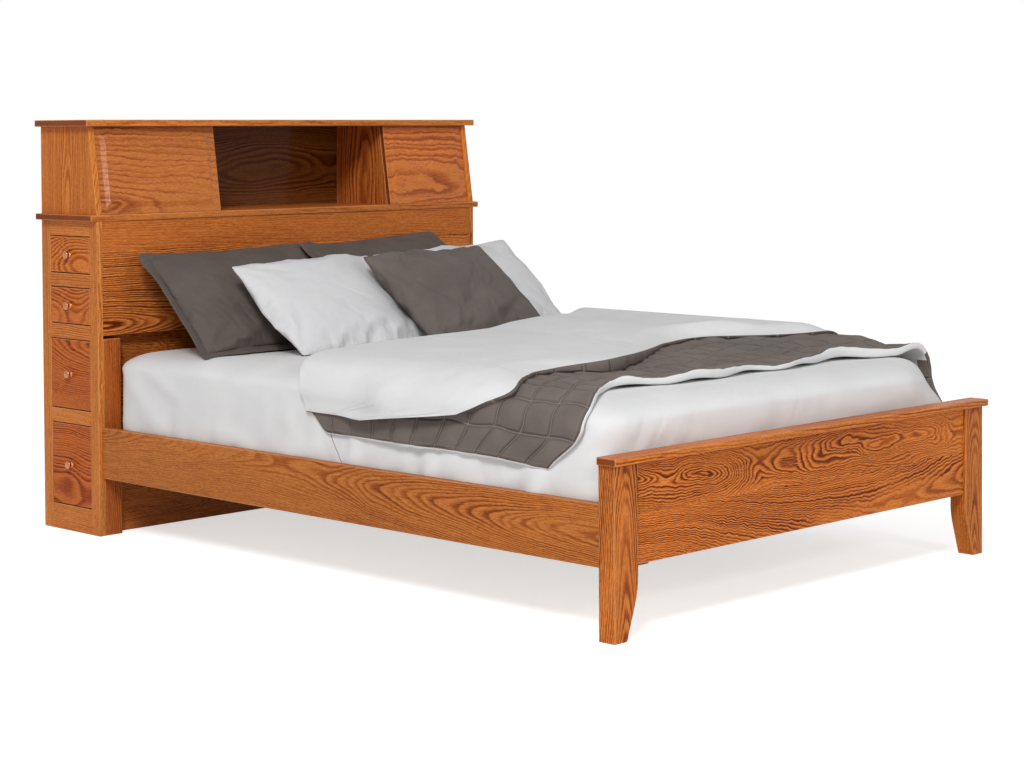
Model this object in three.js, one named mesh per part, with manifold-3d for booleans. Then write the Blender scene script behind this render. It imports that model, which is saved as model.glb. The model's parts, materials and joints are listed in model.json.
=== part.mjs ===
// Queen storage bed in stained oak: a bookcase headboard with two sliding doors and four drawers
// in each end, side rails, a low footboard on sabre legs, a slatted base, mattress and bedding.
// Millimetres, +Z up. X runs across the bed, the footboard is at -Y and the headboard at +Y.
// The origin lies on the floor under the middle of the whole bed.

import * as THREE from 'three';
import { ConvexGeometry } from 'three/addons/geometries/ConvexGeometry.js';
import * as BufferGeometryUtils from 'three/addons/utils/BufferGeometryUtils.js';
import Module from 'manifold-3d';

const wasm = await Module();
wasm.setup();

// Timber
const board = 19;
const thinBoard = 12;
const panelBoard = 8;
const edgeEase = 1.5;

// Headboard case, from the floor to the ledge
const caseDepth = 295;
const caseHeight = 961;
const frameFrontStile = 40;
const frameBackStile = 45;
const caseBackThickness = 12;
const stileInward = 83;
const stileThickness = 38;
const stileHeight = 602;
const stileSlot = 10;
const upperPanelSetback = 2;
const battenHeight = 28;

// Ledge and top cap
const ledgeThickness = 19;
const ledgeFrontOverhang = 3;
const capThickness = 20;
const capFrontOverhang = 24;
const sideOverhang = 23;

// Bookcase with a front that leans back
const bookcaseHeight = 270;
const bookcaseLean = 40;
const bookcaseBackThickness = 9;
const leftDoorWidth = 461;
const rightDoorWidth = 370;

// Sliding doors with a raised field, tongued into grooves
const doorThickness = 19;
const doorSetback = 1;
const doorFieldRise = 5;
const doorBorder = 22;
const doorBevel = 16;
const doorEndClearance = 0.5;
const tongueThickness = 8;
const tongueSetback = 8;
const lowerTongue = 6;
const upperTongue = 8;
const grooveClearance = 0.5;
const tongueRestGap = 0.3;
const grooveHeadroom = 2;
const dividerClearance = 3;

// Drawer openings in the side frame, from the top down, each with the rail above it
const topRail = 47;
const topDrawerOpening = 117;
const upperDrawerRail = 41;
const upperDrawerOpening = 116;
const lowerDrawerRail = 44;
const lowerDrawerOpening = 219;
const bottomDrawerRail = 43;
const toeHeight = 78;

// Drawers
const drawerGap = 3;
const drawerSideGap = 2;
const drawerBoxLength = 440;
const drawerBoxSideGap = 8;
const drawerBoxHeadroom = 22;
const drawerWall = 12;
const drawerBottom = 6;
const drawerBottomRise = 9;
const drawerRunGap = 0.3;
const drawerBackGap = 21;
const runnerWidth = 20;
const runnerHeight = 8;
const runnerClearance = 1;

// Turned knob
const knobRadius = 12.5;
const knobStemRadius = 5.5;
const knobFootFlare = 2;
const knobLength = 22;

// Side rails and slatted base
const railThickness = 22;
const railHeight = 155;
const railBottom = 177;
const railInset = 10;
const cleatWidth = 26;
const cleatHeight = 28;
const cleatRise = 28;
const cleatEndGap = 18;
const slatCount = 9;
const slatWidth = 90;
const slatThickness = 19;
const slatEndGap = 2;
const slatFirst = 25;
const beamWidth = 44;
const beamHeight = 70;
const beamLap = 10;
const legSpacing = 900;

// Footboard
const postInset = 3;
const postWidth = 86;
const postDepth = 53;
const postFootWidth = 45;
const postCurveTop = 150;
const postCurveBottom = 88;
const postCurveInset = 11;
const footboardHeight = 448;
const footboardCapThickness = 19;
const footboardCapEnd = 11;
const footboardCapFront = 13;
const footboardCapBack = 4;
const footPanelThickness = 22;
const footPanelSetback = 8;
const footPanelBottom = 180;

// Mattress with its fitted sheet
const mattressWidth = 1524;
const mattressLength = 2032;
const mattressHeight = 314;
const mattressCorner = 75;
const mattressShoulder = 130;
const mattressShoulderDrop = 55;
const mattressHeadGap = 9;
const mattressFootGap = 6;
const mattressSideGap = 6;
const mattressBaseInset = 14;
const mattressBaseRise = 40;

// Coverlet: one quilted layer with its head part folded back over it
const clothGap = 0.4;
const quiltThickness = 20;
const foldThickness = 46;
const sideFoldThickness = 20;
const quiltDrop = 158;
const foldDrop = 100;

const oak = new THREE.MeshStandardMaterial({ color: 0xb5652b, roughness: 0.42, metalness: 0 });
const oakPanel = new THREE.MeshStandardMaterial({ color: 0xa9581f, roughness: 0.42, metalness: 0 });
const plainWood = new THREE.MeshStandardMaterial({ color: 0xcaa87a, roughness: 0.6, metalness: 0 });
const copper = new THREE.MeshStandardMaterial({ color: 0xc08060, roughness: 0.25, metalness: 1 });
const sheetCotton = new THREE.MeshStandardMaterial({ color: 0xdededf, roughness: 0.9, metalness: 0 });
const quiltCotton = new THREE.MeshStandardMaterial({ color: 0x6f6762, roughness: 0.9, metalness: 0 });
const shamCotton = new THREE.MeshStandardMaterial({ color: 0x55504c, roughness: 0.9, metalness: 0 });

// Places that the pieces share, worked out from the sizes above
const caseWidth = mattressWidth + 2 * (mattressSideGap + railThickness + railInset);
const railLength = mattressLength + mattressHeadGap + mattressFootGap;
const halfCase = caseWidth / 2;
const insideX = halfCase - board;
const halfCap = halfCase + sideOverhang;
const totalLength = footboardCapFront + postDepth + railLength + caseDepth;
const backY = totalLength / 2;
const caseFrontY = backY - caseDepth;
const postBackY = caseFrontY - railLength;
const postFrontY = postBackY - postDepth;
const ledgeTop = caseHeight + ledgeThickness;
const capBottom = ledgeTop + bookcaseHeight;
const lowerPanelFrontY = caseFrontY + stileThickness;
const carcaseFrontY = lowerPanelFrontY + panelBoard;
const caseBackFrontY = backY - caseBackThickness;
const upperPanelBottom = stileHeight + stileSlot;
const drawerY = (caseFrontY + frameFrontStile + backY - frameBackStile) / 2;
const drawerOpeningWidth = caseDepth - frameFrontStile - frameBackStile;
const drawerBoxWidth = drawerOpeningWidth - 2 * drawerBoxSideGap;
const carcaseWallX = insideX - drawerBoxLength - drawerBackGap;
const leftDividerX = -insideX + leftDoorWidth;
const rightDividerX = insideX - rightDoorWidth;
const halfPosts = halfCase - postInset;
const railOuterX = halfCase - railInset;
const railInnerX = railOuterX - railThickness;
const cleatTop = railBottom + cleatRise + cleatHeight;
const slatTop = cleatTop + slatThickness;
const mattressTop = slatTop + mattressHeight;
const mattressHeadY = caseFrontY - mattressHeadGap;
const mattressFootY = mattressHeadY - mattressLength;

// The bottom and the height of each drawer opening: the lowest fills what the others leave
const topOpening = { bottom: caseHeight - topRail - topDrawerOpening, height: topDrawerOpening };
const upperOpening = {
  bottom: topOpening.bottom - upperDrawerRail - upperDrawerOpening,
  height: upperDrawerOpening,
};
const lowerOpening = {
  bottom: upperOpening.bottom - lowerDrawerRail - lowerDrawerOpening,
  height: lowerDrawerOpening,
};
const bottomOpening = {
  bottom: toeHeight,
  height: lowerOpening.bottom - bottomDrawerRail - toeHeight,
};
const drawerOpenings = [bottomOpening, lowerOpening, upperOpening, topOpening];

const bed = new THREE.Group();

function addPiece(name, geometry, material, x = 0, y = 0, z = 0) {
  const mesh = new THREE.Mesh(geometry, material);
  mesh.name = name;
  mesh.position.set(x, y, z);
  bed.add(mesh);
  return mesh;
}

// A solid for booleans needs merged vertices that carry only their positions
function toSolid(geometry) {
  const bare = geometry.clone();
  bare.deleteAttribute('normal');
  bare.deleteAttribute('uv');
  const merged = BufferGeometryUtils.mergeVertices(bare, 1e-4);
  const solidMesh = new wasm.Mesh({
    numProp: 3,
    vertProperties: Float32Array.from(merged.attributes.position.array),
    triVerts: Uint32Array.from(merged.index.array),
  });
  return new wasm.Manifold(solidMesh);
}

function fromSolid(solid) {
  const mesh = solid.getMesh();
  const geometry = new THREE.BufferGeometry();
  geometry.setAttribute('position', new THREE.BufferAttribute(Float32Array.from(mesh.vertProperties), 3));
  geometry.setIndex(new THREE.BufferAttribute(Uint32Array.from(mesh.triVerts), 1));
  const flat = geometry.toNonIndexed();
  flat.computeVertexNormals();
  return flat;
}

function cut(geometry, ...cutters) {
  return fromSolid(cutters.reduce((solid, cutter) => solid.subtract(toSolid(cutter)), toSolid(geometry)));
}

function join(geometry, ...others) {
  return fromSolid(others.reduce((solid, other) => solid.add(toSolid(other)), toSolid(geometry)));
}

// A board between two corners, with all its edges eased
function easedBoard(x0, x1, y0, y1, z0, z1, ease = edgeEase) {
  const points = [];
  for (const [x, inX] of [[x0, ease], [x1, -ease]]) {
    for (const [y, inY] of [[y0, ease], [y1, -ease]]) {
      for (const [z, inZ] of [[z0, ease], [z1, -ease]]) {
        points.push(new THREE.Vector3(x, y + inY, z + inZ));
        points.push(new THREE.Vector3(x + inX, y, z + inZ));
        points.push(new THREE.Vector3(x + inX, y + inY, z));
      }
    }
  }
  return new ConvexGeometry(points);
}

function plainBox(x0, x1, y0, y1, z0, z1) {
  const box = new THREE.BoxGeometry(x1 - x0, y1 - y0, z1 - z0);
  box.translate((x0 + x1) / 2, (y0 + y1) / 2, (z0 + z1) / 2);
  return box;
}

// An outline drawn in Y and Z, carried along X
function extrudeAlongX(points, x0, x1, holes = []) {
  const shape = new THREE.Shape(points.map(([y, z]) => new THREE.Vector2(y, z)));
  for (const hole of holes) {
    shape.holes.push(new THREE.Path(hole.map(([y, z]) => new THREE.Vector2(y, z))));
  }
  const geometry = new THREE.ExtrudeGeometry(shape, { depth: x1 - x0, bevelEnabled: false });
  const turn = new THREE.Matrix4().makeBasis(
    new THREE.Vector3(0, 1, 0),
    new THREE.Vector3(0, 0, 1),
    new THREE.Vector3(1, 0, 0),
  );
  geometry.applyMatrix4(turn);
  geometry.translate(x0, 0, 0);
  return geometry;
}

function rectangle(y0, y1, z0, z1) {
  return [[y0, z0], [y1, z0], [y1, z1], [y0, z1]];
}

// Bookcase front: a line that starts at the case front and leans back as it rises
const leanSlope = bookcaseLean / bookcaseHeight;
const leanCos = 1 / Math.hypot(1, leanSlope);
const leanSin = leanSlope * leanCos;

// Y of a plane that lies depth behind the leaning front, at height z
function leaningY(depth, z) {
  return caseFrontY + (z - ledgeTop) * leanSlope + depth / leanCos;
}

// A point on the leaning front: rise up the slope, and depth behind it
function leaningPoint(x, rise, depth) {
  const y = caseFrontY + rise * leanSin + depth * leanCos;
  const z = ledgeTop + rise * leanCos - depth * leanSin;
  return new THREE.Vector3(x, y, z);
}

function leaningStrip(depth0, depth1, z0, z1) {
  return [
    [leaningY(depth0, z0), z0],
    [leaningY(depth1, z0), z0],
    [leaningY(depth1, z1), z1],
    [leaningY(depth0, z1), z1],
  ];
}

// Case: side frames, panels, stiles and back
function sideFrame(side) {
  const holes = drawerOpenings.map(({ bottom, height }) => rectangle(
    drawerY - drawerOpeningWidth / 2,
    drawerY + drawerOpeningWidth / 2,
    bottom,
    bottom + height,
  ));
  const outline = rectangle(caseFrontY, backY, 0, caseHeight);
  const x0 = side < 0 ? -halfCase : insideX;
  return extrudeAlongX(outline, x0, x0 + board, holes);
}

function upperPanel() {
  const faceY = caseFrontY + upperPanelSetback;
  const outline = [
    [faceY, upperPanelBottom],
    [lowerPanelFrontY, upperPanelBottom],
    [lowerPanelFrontY, upperPanelBottom + battenHeight],
    [faceY + board, upperPanelBottom + battenHeight],
    [faceY + board, caseHeight],
    [faceY, caseHeight],
  ];
  return extrudeAlongX(outline, -insideX, insideX);
}

for (const [side, label] of [[-1, 'left'], [1, 'right']]) {
  addPiece(`case_side_frame_${label}`, sideFrame(side), oak);
  const stileX = [side * insideX, side * (halfCase - stileInward)].sort((a, b) => a - b);
  const stile = easedBoard(stileX[0], stileX[1], caseFrontY, lowerPanelFrontY, 0, stileHeight);
  addPiece(`front_stile_${label}`, stile, oak);
}
addPiece('upper_front_panel', upperPanel(), oakPanel);
const lowerPanelTop = upperPanelBottom + battenHeight;
addPiece(
  'lower_front_panel',
  plainBox(-insideX, insideX, lowerPanelFrontY, carcaseFrontY, 0, lowerPanelTop),
  oakPanel,
);
addPiece('case_back', plainBox(-insideX, insideX, caseBackFrontY, backY, 0, caseHeight), oakPanel);

// Drawer carcase: an inner wall with one shelf and one centre runner below each drawer
function drawerCarcase() {
  const wallBackX = -carcaseWallX + thinBoard;
  const wall = plainBox(-carcaseWallX, wallBackX, carcaseFrontY, caseBackFrontY, 0, caseHeight);
  const pieces = [];
  const shelfEnd = -carcaseWallX + thinBoard / 2;
  for (const { bottom } of drawerOpenings) {
    pieces.push(plainBox(-insideX, shelfEnd, carcaseFrontY, caseBackFrontY, bottom - thinBoard, bottom));
    pieces.push(plainBox(
      -insideX + drawerWall + runnerClearance,
      shelfEnd,
      drawerY - runnerWidth / 2,
      drawerY + runnerWidth / 2,
      bottom - thinBoard / 2,
      bottom + runnerHeight - runnerClearance,
    ));
  }
  return join(wall, ...pieces);
}

// The right carcase is the left one turned end for end about the drawers' middle
function turnedToRight(geometry) {
  const turned = geometry.clone();
  turned.applyMatrix4(new THREE.Matrix4().makeScale(-1, 1, 1));
  const position = turned.attributes.position;
  const flipped = new Float32Array(position.array.length);
  for (let i = 0; i < position.count; i += 3) {
    for (const [from, to] of [[0, 0], [1, 2], [2, 1]]) {
      flipped[3 * (i + to)] = position.getX(i + from);
      flipped[3 * (i + to) + 1] = position.getY(i + from);
      flipped[3 * (i + to) + 2] = position.getZ(i + from);
    }
  }
  const mirrored = new THREE.BufferGeometry();
  mirrored.setAttribute('position', new THREE.BufferAttribute(flipped, 3));
  mirrored.computeVertexNormals();
  return mirrored;
}

const carcase = drawerCarcase();
addPiece('drawer_carcase_left', carcase, plainWood);
addPiece('drawer_carcase_right', turnedToRight(carcase), plainWood);

// A drawer box in its own place on the left: open on top, notched at the back over its runner
function drawerBox(bottom, height) {
  const x0 = -insideX;
  const x1 = x0 + drawerBoxLength;
  const y0 = drawerY - drawerBoxWidth / 2;
  const y1 = drawerY + drawerBoxWidth / 2;
  const z0 = bottom + drawerRunGap;
  const z1 = bottom + height - drawerBoxHeadroom;
  const floor = z0 + drawerBottomRise;
  const reach = 5;
  const inside = plainBox(
    x0 + drawerWall, x1 - drawerWall, y0 + drawerWall, y1 - drawerWall, floor + drawerBottom, z1 + reach,
  );
  const recess = plainBox(
    x0 + drawerWall, x1 - drawerWall, y0 + drawerWall, y1 - drawerWall, z0 - reach, floor,
  );
  const notch = plainBox(
    x1 - drawerWall - reach,
    x1 + reach,
    drawerY - runnerWidth / 2 - runnerClearance,
    drawerY + runnerWidth / 2 + runnerClearance,
    z0 - reach,
    floor,
  );
  return cut(plainBox(x0, x1, y0, y1, z0, z1), inside, recess, notch);
}

function drawerFront(bottom, height) {
  const halfWidth = drawerOpeningWidth / 2 - drawerSideGap;
  return easedBoard(
    -halfCase,
    -insideX,
    drawerY - halfWidth,
    drawerY + halfWidth,
    bottom + drawerGap,
    bottom + height - drawerGap,
  );
}

// A knob turned about its stem, which points out of the drawer front
function knob(side) {
  const profile = [
    [0, 0],
    [knobStemRadius + knobFootFlare, 0],
    [knobStemRadius, knobLength * 0.14],
    [knobStemRadius, knobLength * 0.4],
    [knobRadius * 0.8, knobLength * 0.5],
    [knobRadius, knobLength * 0.68],
    [knobRadius * 0.92, knobLength * 0.84],
    [knobRadius * 0.6, knobLength * 0.96],
    [0, knobLength],
  ];
  const geometry = new THREE.LatheGeometry(profile.map(([r, h]) => new THREE.Vector2(r, h)), 16);
  geometry.rotateZ(side < 0 ? Math.PI / 2 : -Math.PI / 2);
  return geometry;
}

drawerOpenings.forEach(({ bottom, height }, index) => {
  const number = index + 1;
  const box = drawerBox(bottom, height);
  const front = drawerFront(bottom, height);
  addPiece(`drawer_box_left_${number}`, box, plainWood);
  addPiece(`drawer_box_right_${number}`, turnedToRight(box), plainWood);
  addPiece(`drawer_front_left_${number}`, front, oakPanel);
  addPiece(`drawer_front_right_${number}`, turnedToRight(front), oakPanel);
  for (const [side, label] of [[-1, 'left'], [1, 'right']]) {
    const knobZ = bottom + height / 2;
    addPiece(`drawer_knob_${label}_${number}`, knob(side), copper, side * halfCase, drawerY, knobZ);
  }
});

// Ledge, bookcase and top cap
function groove(z0, z1) {
  const depth0 = doorSetback + tongueSetback - grooveClearance;
  const depth1 = doorSetback + tongueSetback + tongueThickness + grooveClearance;
  return extrudeAlongX(leaningStrip(depth0, depth1, z0, z1), -insideX, insideX);
}

const ledge = easedBoard(-halfCap, halfCap, caseFrontY - ledgeFrontOverhang, backY, caseHeight, ledgeTop);
addPiece('headboard_ledge', cut(ledge, groove(ledgeTop - lowerTongue, ledgeTop + 1)), oak);

const capFrontY = leaningY(0, capBottom) - capFrontOverhang;
const cap = easedBoard(-halfCap, halfCap, capFrontY, backY, capBottom, capBottom + capThickness);
const upperGroove = groove(capBottom - 1, capBottom + upperTongue + grooveHeadroom);
addPiece('headboard_top_cap', cut(cap, upperGroove), oak);

for (const [side, label] of [[-1, 'left'], [1, 'right']]) {
  const outline = [
    [leaningY(0, ledgeTop), ledgeTop],
    [backY, ledgeTop],
    [backY, capBottom],
    [leaningY(0, capBottom), capBottom],
  ];
  const x0 = side < 0 ? -halfCase : insideX;
  addPiece(`bookcase_side_${label}`, extrudeAlongX(outline, x0, x0 + board), oak);
}

const bookcaseBackY = backY - bookcaseBackThickness;
addPiece(
  'bookcase_back',
  plainBox(-insideX, insideX, bookcaseBackY, backY, ledgeTop, capBottom),
  oakPanel,
);

const dividerSetback = doorSetback + doorThickness + dividerClearance;
for (const [label, x0] of [['left', leftDividerX - board], ['right', rightDividerX]]) {
  const outline = [
    [leaningY(dividerSetback, ledgeTop), ledgeTop],
    [bookcaseBackY, ledgeTop],
    [bookcaseBackY, capBottom],
    [leaningY(dividerSetback, capBottom), capBottom],
  ];
  addPiece(`bookcase_divider_${label}`, extrudeAlongX(outline, x0, x0 + board), oak);
}

// A door: a leaning slab with tongues above and below, and a field raised on its face
function slidingDoor(x0, x1) {
  const face = doorSetback + doorFieldRise;
  const back = doorSetback + doorThickness;
  const tongueFront = doorSetback + tongueSetback;
  const tongueBack = tongueFront + tongueThickness;
  const slabBottom = ledgeTop + doorEndClearance;
  const slabTop = capBottom - doorEndClearance;
  const tongueBottom = ledgeTop - lowerTongue + tongueRestGap;
  const tongueTop = capBottom + upperTongue;
  const outline = [
    [leaningY(face, slabBottom), slabBottom],
    [leaningY(tongueFront, slabBottom), slabBottom],
    [leaningY(tongueFront, tongueBottom), tongueBottom],
    [leaningY(tongueBack, tongueBottom), tongueBottom],
    [leaningY(tongueBack, slabBottom), slabBottom],
    [leaningY(back, slabBottom), slabBottom],
    [leaningY(back, slabTop), slabTop],
    [leaningY(tongueBack, slabTop), slabTop],
    [leaningY(tongueBack, tongueTop), tongueTop],
    [leaningY(tongueFront, tongueTop), tongueTop],
    [leaningY(tongueFront, slabTop), slabTop],
    [leaningY(face, slabTop), slabTop],
  ];
  const slab = extrudeAlongX(outline, x0 + doorEndClearance, x1);
  const slopeHeight = bookcaseHeight / leanCos;
  const corners = [];
  for (const [inset, depth] of [[0, face + 1], [0, face], [doorBevel, doorSetback]]) {
    for (const x of [x0 + doorBorder + inset, x1 - doorBorder - inset]) {
      for (const rise of [doorBorder + inset, slopeHeight - doorBorder - inset]) {
        corners.push(leaningPoint(x, rise, depth));
      }
    }
  }
  return join(slab, new ConvexGeometry(corners));
}

addPiece('sliding_door_left', slidingDoor(-insideX, leftDividerX), oakPanel);
addPiece('sliding_door_right', slidingDoor(rightDividerX, insideX - doorEndClearance), oakPanel);

// Side rails with their cleats
for (const [side, label] of [[-1, 'left'], [1, 'right']]) {
  const railX = [side * railOuterX, side * railInnerX].sort((a, b) => a - b);
  const rail = easedBoard(railX[0], railX[1], postBackY, caseFrontY, railBottom, railBottom + railHeight);
  addPiece(`side_rail_${label}`, rail, oak);
  const cleatX = [side * railInnerX, side * (railInnerX - cleatWidth)].sort((a, b) => a - b);
  const cleat = plainBox(
    cleatX[0], cleatX[1], postBackY + cleatEndGap, caseFrontY - cleatEndGap, cleatTop - cleatHeight, cleatTop,
  );
  addPiece(`slat_cleat_${label}`, cleat, plainWood);
}

// Slatted base: slats lapped over a centre beam on two legs
const slatHalfLength = railInnerX - slatEndGap;
const slatRunStart = postBackY + cleatEndGap + slatFirst;
const slatRunEnd = caseFrontY - cleatEndGap - slatFirst - slatWidth;

function slatBase() {
  const beamTop = cleatTop + beamLap;
  const beamBottom = cleatTop - beamHeight;
  const beam = plainBox(
    -beamWidth / 2, beamWidth / 2, postBackY + cleatEndGap, caseFrontY - cleatEndGap, beamBottom, beamTop,
  );
  const slats = [];
  for (let i = 0; i < slatCount; i += 1) {
    const y0 = slatRunStart + ((slatRunEnd - slatRunStart) * i) / (slatCount - 1);
    slats.push(plainBox(-slatHalfLength, slatHalfLength, y0, y0 + slatWidth, cleatTop, slatTop));
  }
  return join(beam, ...slats);
}

addPiece('slat_base', slatBase(), plainWood);
for (const [label, place] of [['foot', -1], ['head', 1]]) {
  const y = (postBackY + caseFrontY) / 2 + (place * legSpacing) / 2;
  const half = beamWidth / 2;
  const leg = easedBoard(-half, half, -half, half, 0, cleatTop - beamHeight);
  addPiece(`centre_leg_${label}`, leg, plainWood, 0, y, 0);
}

// Footboard: posts whose inner edge sweeps in to a narrower foot
function footboardPost(side) {
  const height = footboardHeight - footboardCapThickness;
  const shape = new THREE.Shape();
  shape.moveTo(0, 0);
  shape.lineTo(postFootWidth, 0);
  shape.lineTo(postWidth - postCurveInset, postCurveBottom);
  shape.quadraticCurveTo(postWidth, (postCurveTop + postCurveBottom) / 2, postWidth, postCurveTop);
  shape.lineTo(postWidth, height);
  shape.lineTo(0, height);
  shape.closePath();
  const geometry = new THREE.ExtrudeGeometry(shape, {
    depth: postDepth - 2 * edgeEase,
    bevelEnabled: true,
    bevelThickness: edgeEase,
    bevelSize: edgeEase,
    bevelOffset: -edgeEase,
    bevelSegments: 1,
    curveSegments: 8,
  });
  geometry.translate(0, 0, edgeEase);
  const turn = new THREE.Matrix4().makeBasis(
    new THREE.Vector3(1, 0, 0),
    new THREE.Vector3(0, 0, 1),
    new THREE.Vector3(0, -1, 0),
  );
  geometry.applyMatrix4(turn);
  return side < 0 ? geometry : turnedToRight(geometry);
}

addPiece('footboard_post_left', footboardPost(-1), oak, -halfPosts, postBackY, 0);
addPiece('footboard_post_right', footboardPost(1), oak, halfPosts, postBackY, 0);

const postInnerX = halfPosts - postWidth;
const footPanelFrontY = postFrontY + footPanelSetback;
const footboardTopOfPosts = footboardHeight - footboardCapThickness;
const footPanel = easedBoard(
  -postInnerX,
  postInnerX,
  footPanelFrontY,
  footPanelFrontY + footPanelThickness,
  footPanelBottom,
  footboardTopOfPosts,
);
addPiece('footboard_panel', footPanel, oakPanel);
const footCap = easedBoard(
  -halfPosts - footboardCapEnd,
  halfPosts + footboardCapEnd,
  postFrontY - footboardCapFront,
  postBackY - footboardCapBack,
  footboardTopOfPosts,
  footboardHeight,
);
addPiece('footboard_cap', footCap, oak);

// Mattress: layers of a rounded outline, drawn in at the bottom and over a soft shoulder
const halfMattress = mattressWidth / 2;
const shoulderSteps = 4;
const shoulderBottom = mattressTop - mattressShoulderDrop;

// Height, and how far the side stands in from the full width there
function shoulderProfile() {
  const profile = [];
  for (let k = 0; k <= shoulderSteps; k += 1) {
    const angle = (k / shoulderSteps) * (Math.PI / 2);
    profile.push({
      inset: mattressShoulder * (1 - Math.cos(angle)),
      z: shoulderBottom + mattressShoulderDrop * Math.sin(angle),
    });
  }
  return profile;
}

function roundedOutline(halfX, y0, y1, radius, steps) {
  const points = [];
  const centres = [
    [halfX - radius, y1 - radius, 0],
    [-halfX + radius, y1 - radius, 1],
    [-halfX + radius, y0 + radius, 2],
    [halfX - radius, y0 + radius, 3],
  ];
  for (const [cx, cy, quarter] of centres) {
    for (let k = 0; k <= steps; k += 1) {
      const angle = ((quarter + k / steps) * Math.PI) / 2;
      points.push([cx + radius * Math.cos(angle), cy + radius * Math.sin(angle)]);
    }
  }
  return points;
}

// Rings of points, bottom first, closed by a flat face at each end
function loftRings(rings) {
  const count = rings[0].length;
  const positions = [];
  const addTriangle = (a, b, c) => positions.push(...a, ...b, ...c);
  for (let r = 0; r + 1 < rings.length; r += 1) {
    for (let i = 0; i < count; i += 1) {
      const next = (i + 1) % count;
      addTriangle(rings[r][i], rings[r][next], rings[r + 1][next]);
      addTriangle(rings[r][i], rings[r + 1][next], rings[r + 1][i]);
    }
  }
  const first = rings[0];
  const last = rings[rings.length - 1];
  for (let i = 1; i + 1 < count; i += 1) {
    addTriangle(first[0], first[i + 1], first[i]);
    addTriangle(last[0], last[i], last[i + 1]);
  }
  return trianglesToGeometry(positions);
}

function trianglesToGeometry(positions) {
  const geometry = new THREE.BufferGeometry();
  geometry.setAttribute('position', new THREE.BufferAttribute(Float32Array.from(positions), 3));
  geometry.computeVertexNormals();
  return geometry;
}

function mattress() {
  const layers = [
    { inset: mattressBaseInset, z: slatTop },
    { inset: mattressBaseInset * 0.3, z: slatTop + mattressBaseRise * 0.3 },
    { inset: 0, z: slatTop + mattressBaseRise },
    ...shoulderProfile(),
  ];
  const rings = layers.map(({ inset, z }) => roundedOutline(
    halfMattress - inset, mattressFootY + inset, mattressHeadY - inset, mattressCorner, 4,
  ).map(([x, y]) => [x, y, z]));
  return loftRings(rings);
}

addPiece('mattress', mattress(), sheetCotton);

// A sheet of quads with a face above and below, joined all round its rim
function closedSheet(upper, lower) {
  const positions = [];
  const addQuad = (a, b, c, d) => positions.push(...a, ...b, ...c, ...a, ...c, ...d);
  const lastRow = upper.length - 1;
  const lastColumn = upper[0].length - 1;
  for (let i = 0; i < lastRow; i += 1) {
    for (let j = 0; j < lastColumn; j += 1) {
      addQuad(upper[i][j], upper[i + 1][j], upper[i + 1][j + 1], upper[i][j + 1]);
      addQuad(lower[i][j], lower[i][j + 1], lower[i + 1][j + 1], lower[i + 1][j]);
    }
  }
  for (let i = 0; i < lastRow; i += 1) {
    addQuad(upper[i][0], lower[i][0], lower[i + 1][0], upper[i + 1][0]);
    addQuad(upper[i + 1][lastColumn], lower[i + 1][lastColumn], lower[i][lastColumn], upper[i][lastColumn]);
  }
  for (let j = 0; j < lastColumn; j += 1) {
    addQuad(upper[0][j + 1], lower[0][j + 1], lower[0][j], upper[0][j]);
    addQuad(upper[lastRow][j], lower[lastRow][j], lower[lastRow][j + 1], upper[lastRow][j + 1]);
  }
  return trianglesToGeometry(positions);
}

// Coverlet: stations across the bed follow the mattress down both sides to the hem
function coverletStations() {
  const half = [];
  for (const drop of [quiltDrop, (quiltDrop + foldDrop) / 2, foldDrop + 4, foldDrop - 4, foldDrop - 24]) {
    half.push({ x: halfMattress, z: mattressTop - drop, below: drop });
  }
  for (const { inset, z } of shoulderProfile()) {
    half.push({ x: halfMattress - inset, z, below: mattressTop - z });
  }
  const flatHalf = halfMattress - mattressShoulder;
  const left = half.map(({ x, z, below }) => ({ x: -x, z, below }));
  const middle = [-0.75, -0.5, -0.25, 0, 0.25, 0.5, 0.75].map((share) => (
    { x: share * flatHalf, z: mattressTop, below: 0 }
  ));
  return [...left, ...middle, ...half.reverse()];
}

// Distance across the cloth from the middle, and the direction that points out of it
function measureStations(stations) {
  const count = stations.length;
  const lengths = stations.slice(1).map((s, i) => Math.hypot(s.x - stations[i].x, s.z - stations[i].z));
  const total = lengths.reduce((sum, length) => sum + length, 0);
  let along = -total / 2;
  return stations.map((station, i) => {
    const before = stations[Math.max(i - 1, 0)];
    const after = stations[Math.min(i + 1, count - 1)];
    const normals = [[before, station], [station, after]]
      .filter(([a, b]) => a !== b)
      .map(([a, b]) => new THREE.Vector2(a.z - b.z, b.x - a.x).normalize());
    const first = normals[0];
    const second = normals[normals.length - 1];
    const outward = first.clone().add(second).divideScalar(1 + first.dot(second));
    const measured = { ...station, across: along, outward };
    along += lengths[i] ?? 0;
    return measured;
  });
}

// Values between hand-set places, eased from one to the next
function between(table, at) {
  const last = table.length - 1;
  if (at <= table[0][0]) {
    return table[0][1];
  }
  for (let i = 0; i < last; i += 1) {
    const [a, va] = table[i];
    const [b, vb] = table[i + 1];
    if (at <= b) {
      const share = (at - a) / (b - a);
      return va + (vb - va) * share * share * (3 - 2 * share);
    }
  }
  return table[last][1];
}

// Foot edge, fold edge and head edge of the coverlet: places across it, and there the distance from
// the foot of the mattress
const quiltFootEdge = [
  [-890, 166], [-790, 82], [-640, 182], [-480, 262], [-300, 317], [30, 302],
  [330, 277], [600, 382], [700, 312], [790, 132], [890, 82],
];
const quiltFoldEdge = [
  [-890, 632], [-835, 602], [-790, 442], [-620, 452], [-350, 555], [-90, 632],
  [220, 717], [470, 807], [610, 847], [790, 832], [890, 832],
];
const quiltHeadEdge = [
  [-890, 1082], [-790, 1112], [-480, 1242], [0, 1312], [300, 1317], [520, 1357],
  [700, 1512], [890, 1582],
];

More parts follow.
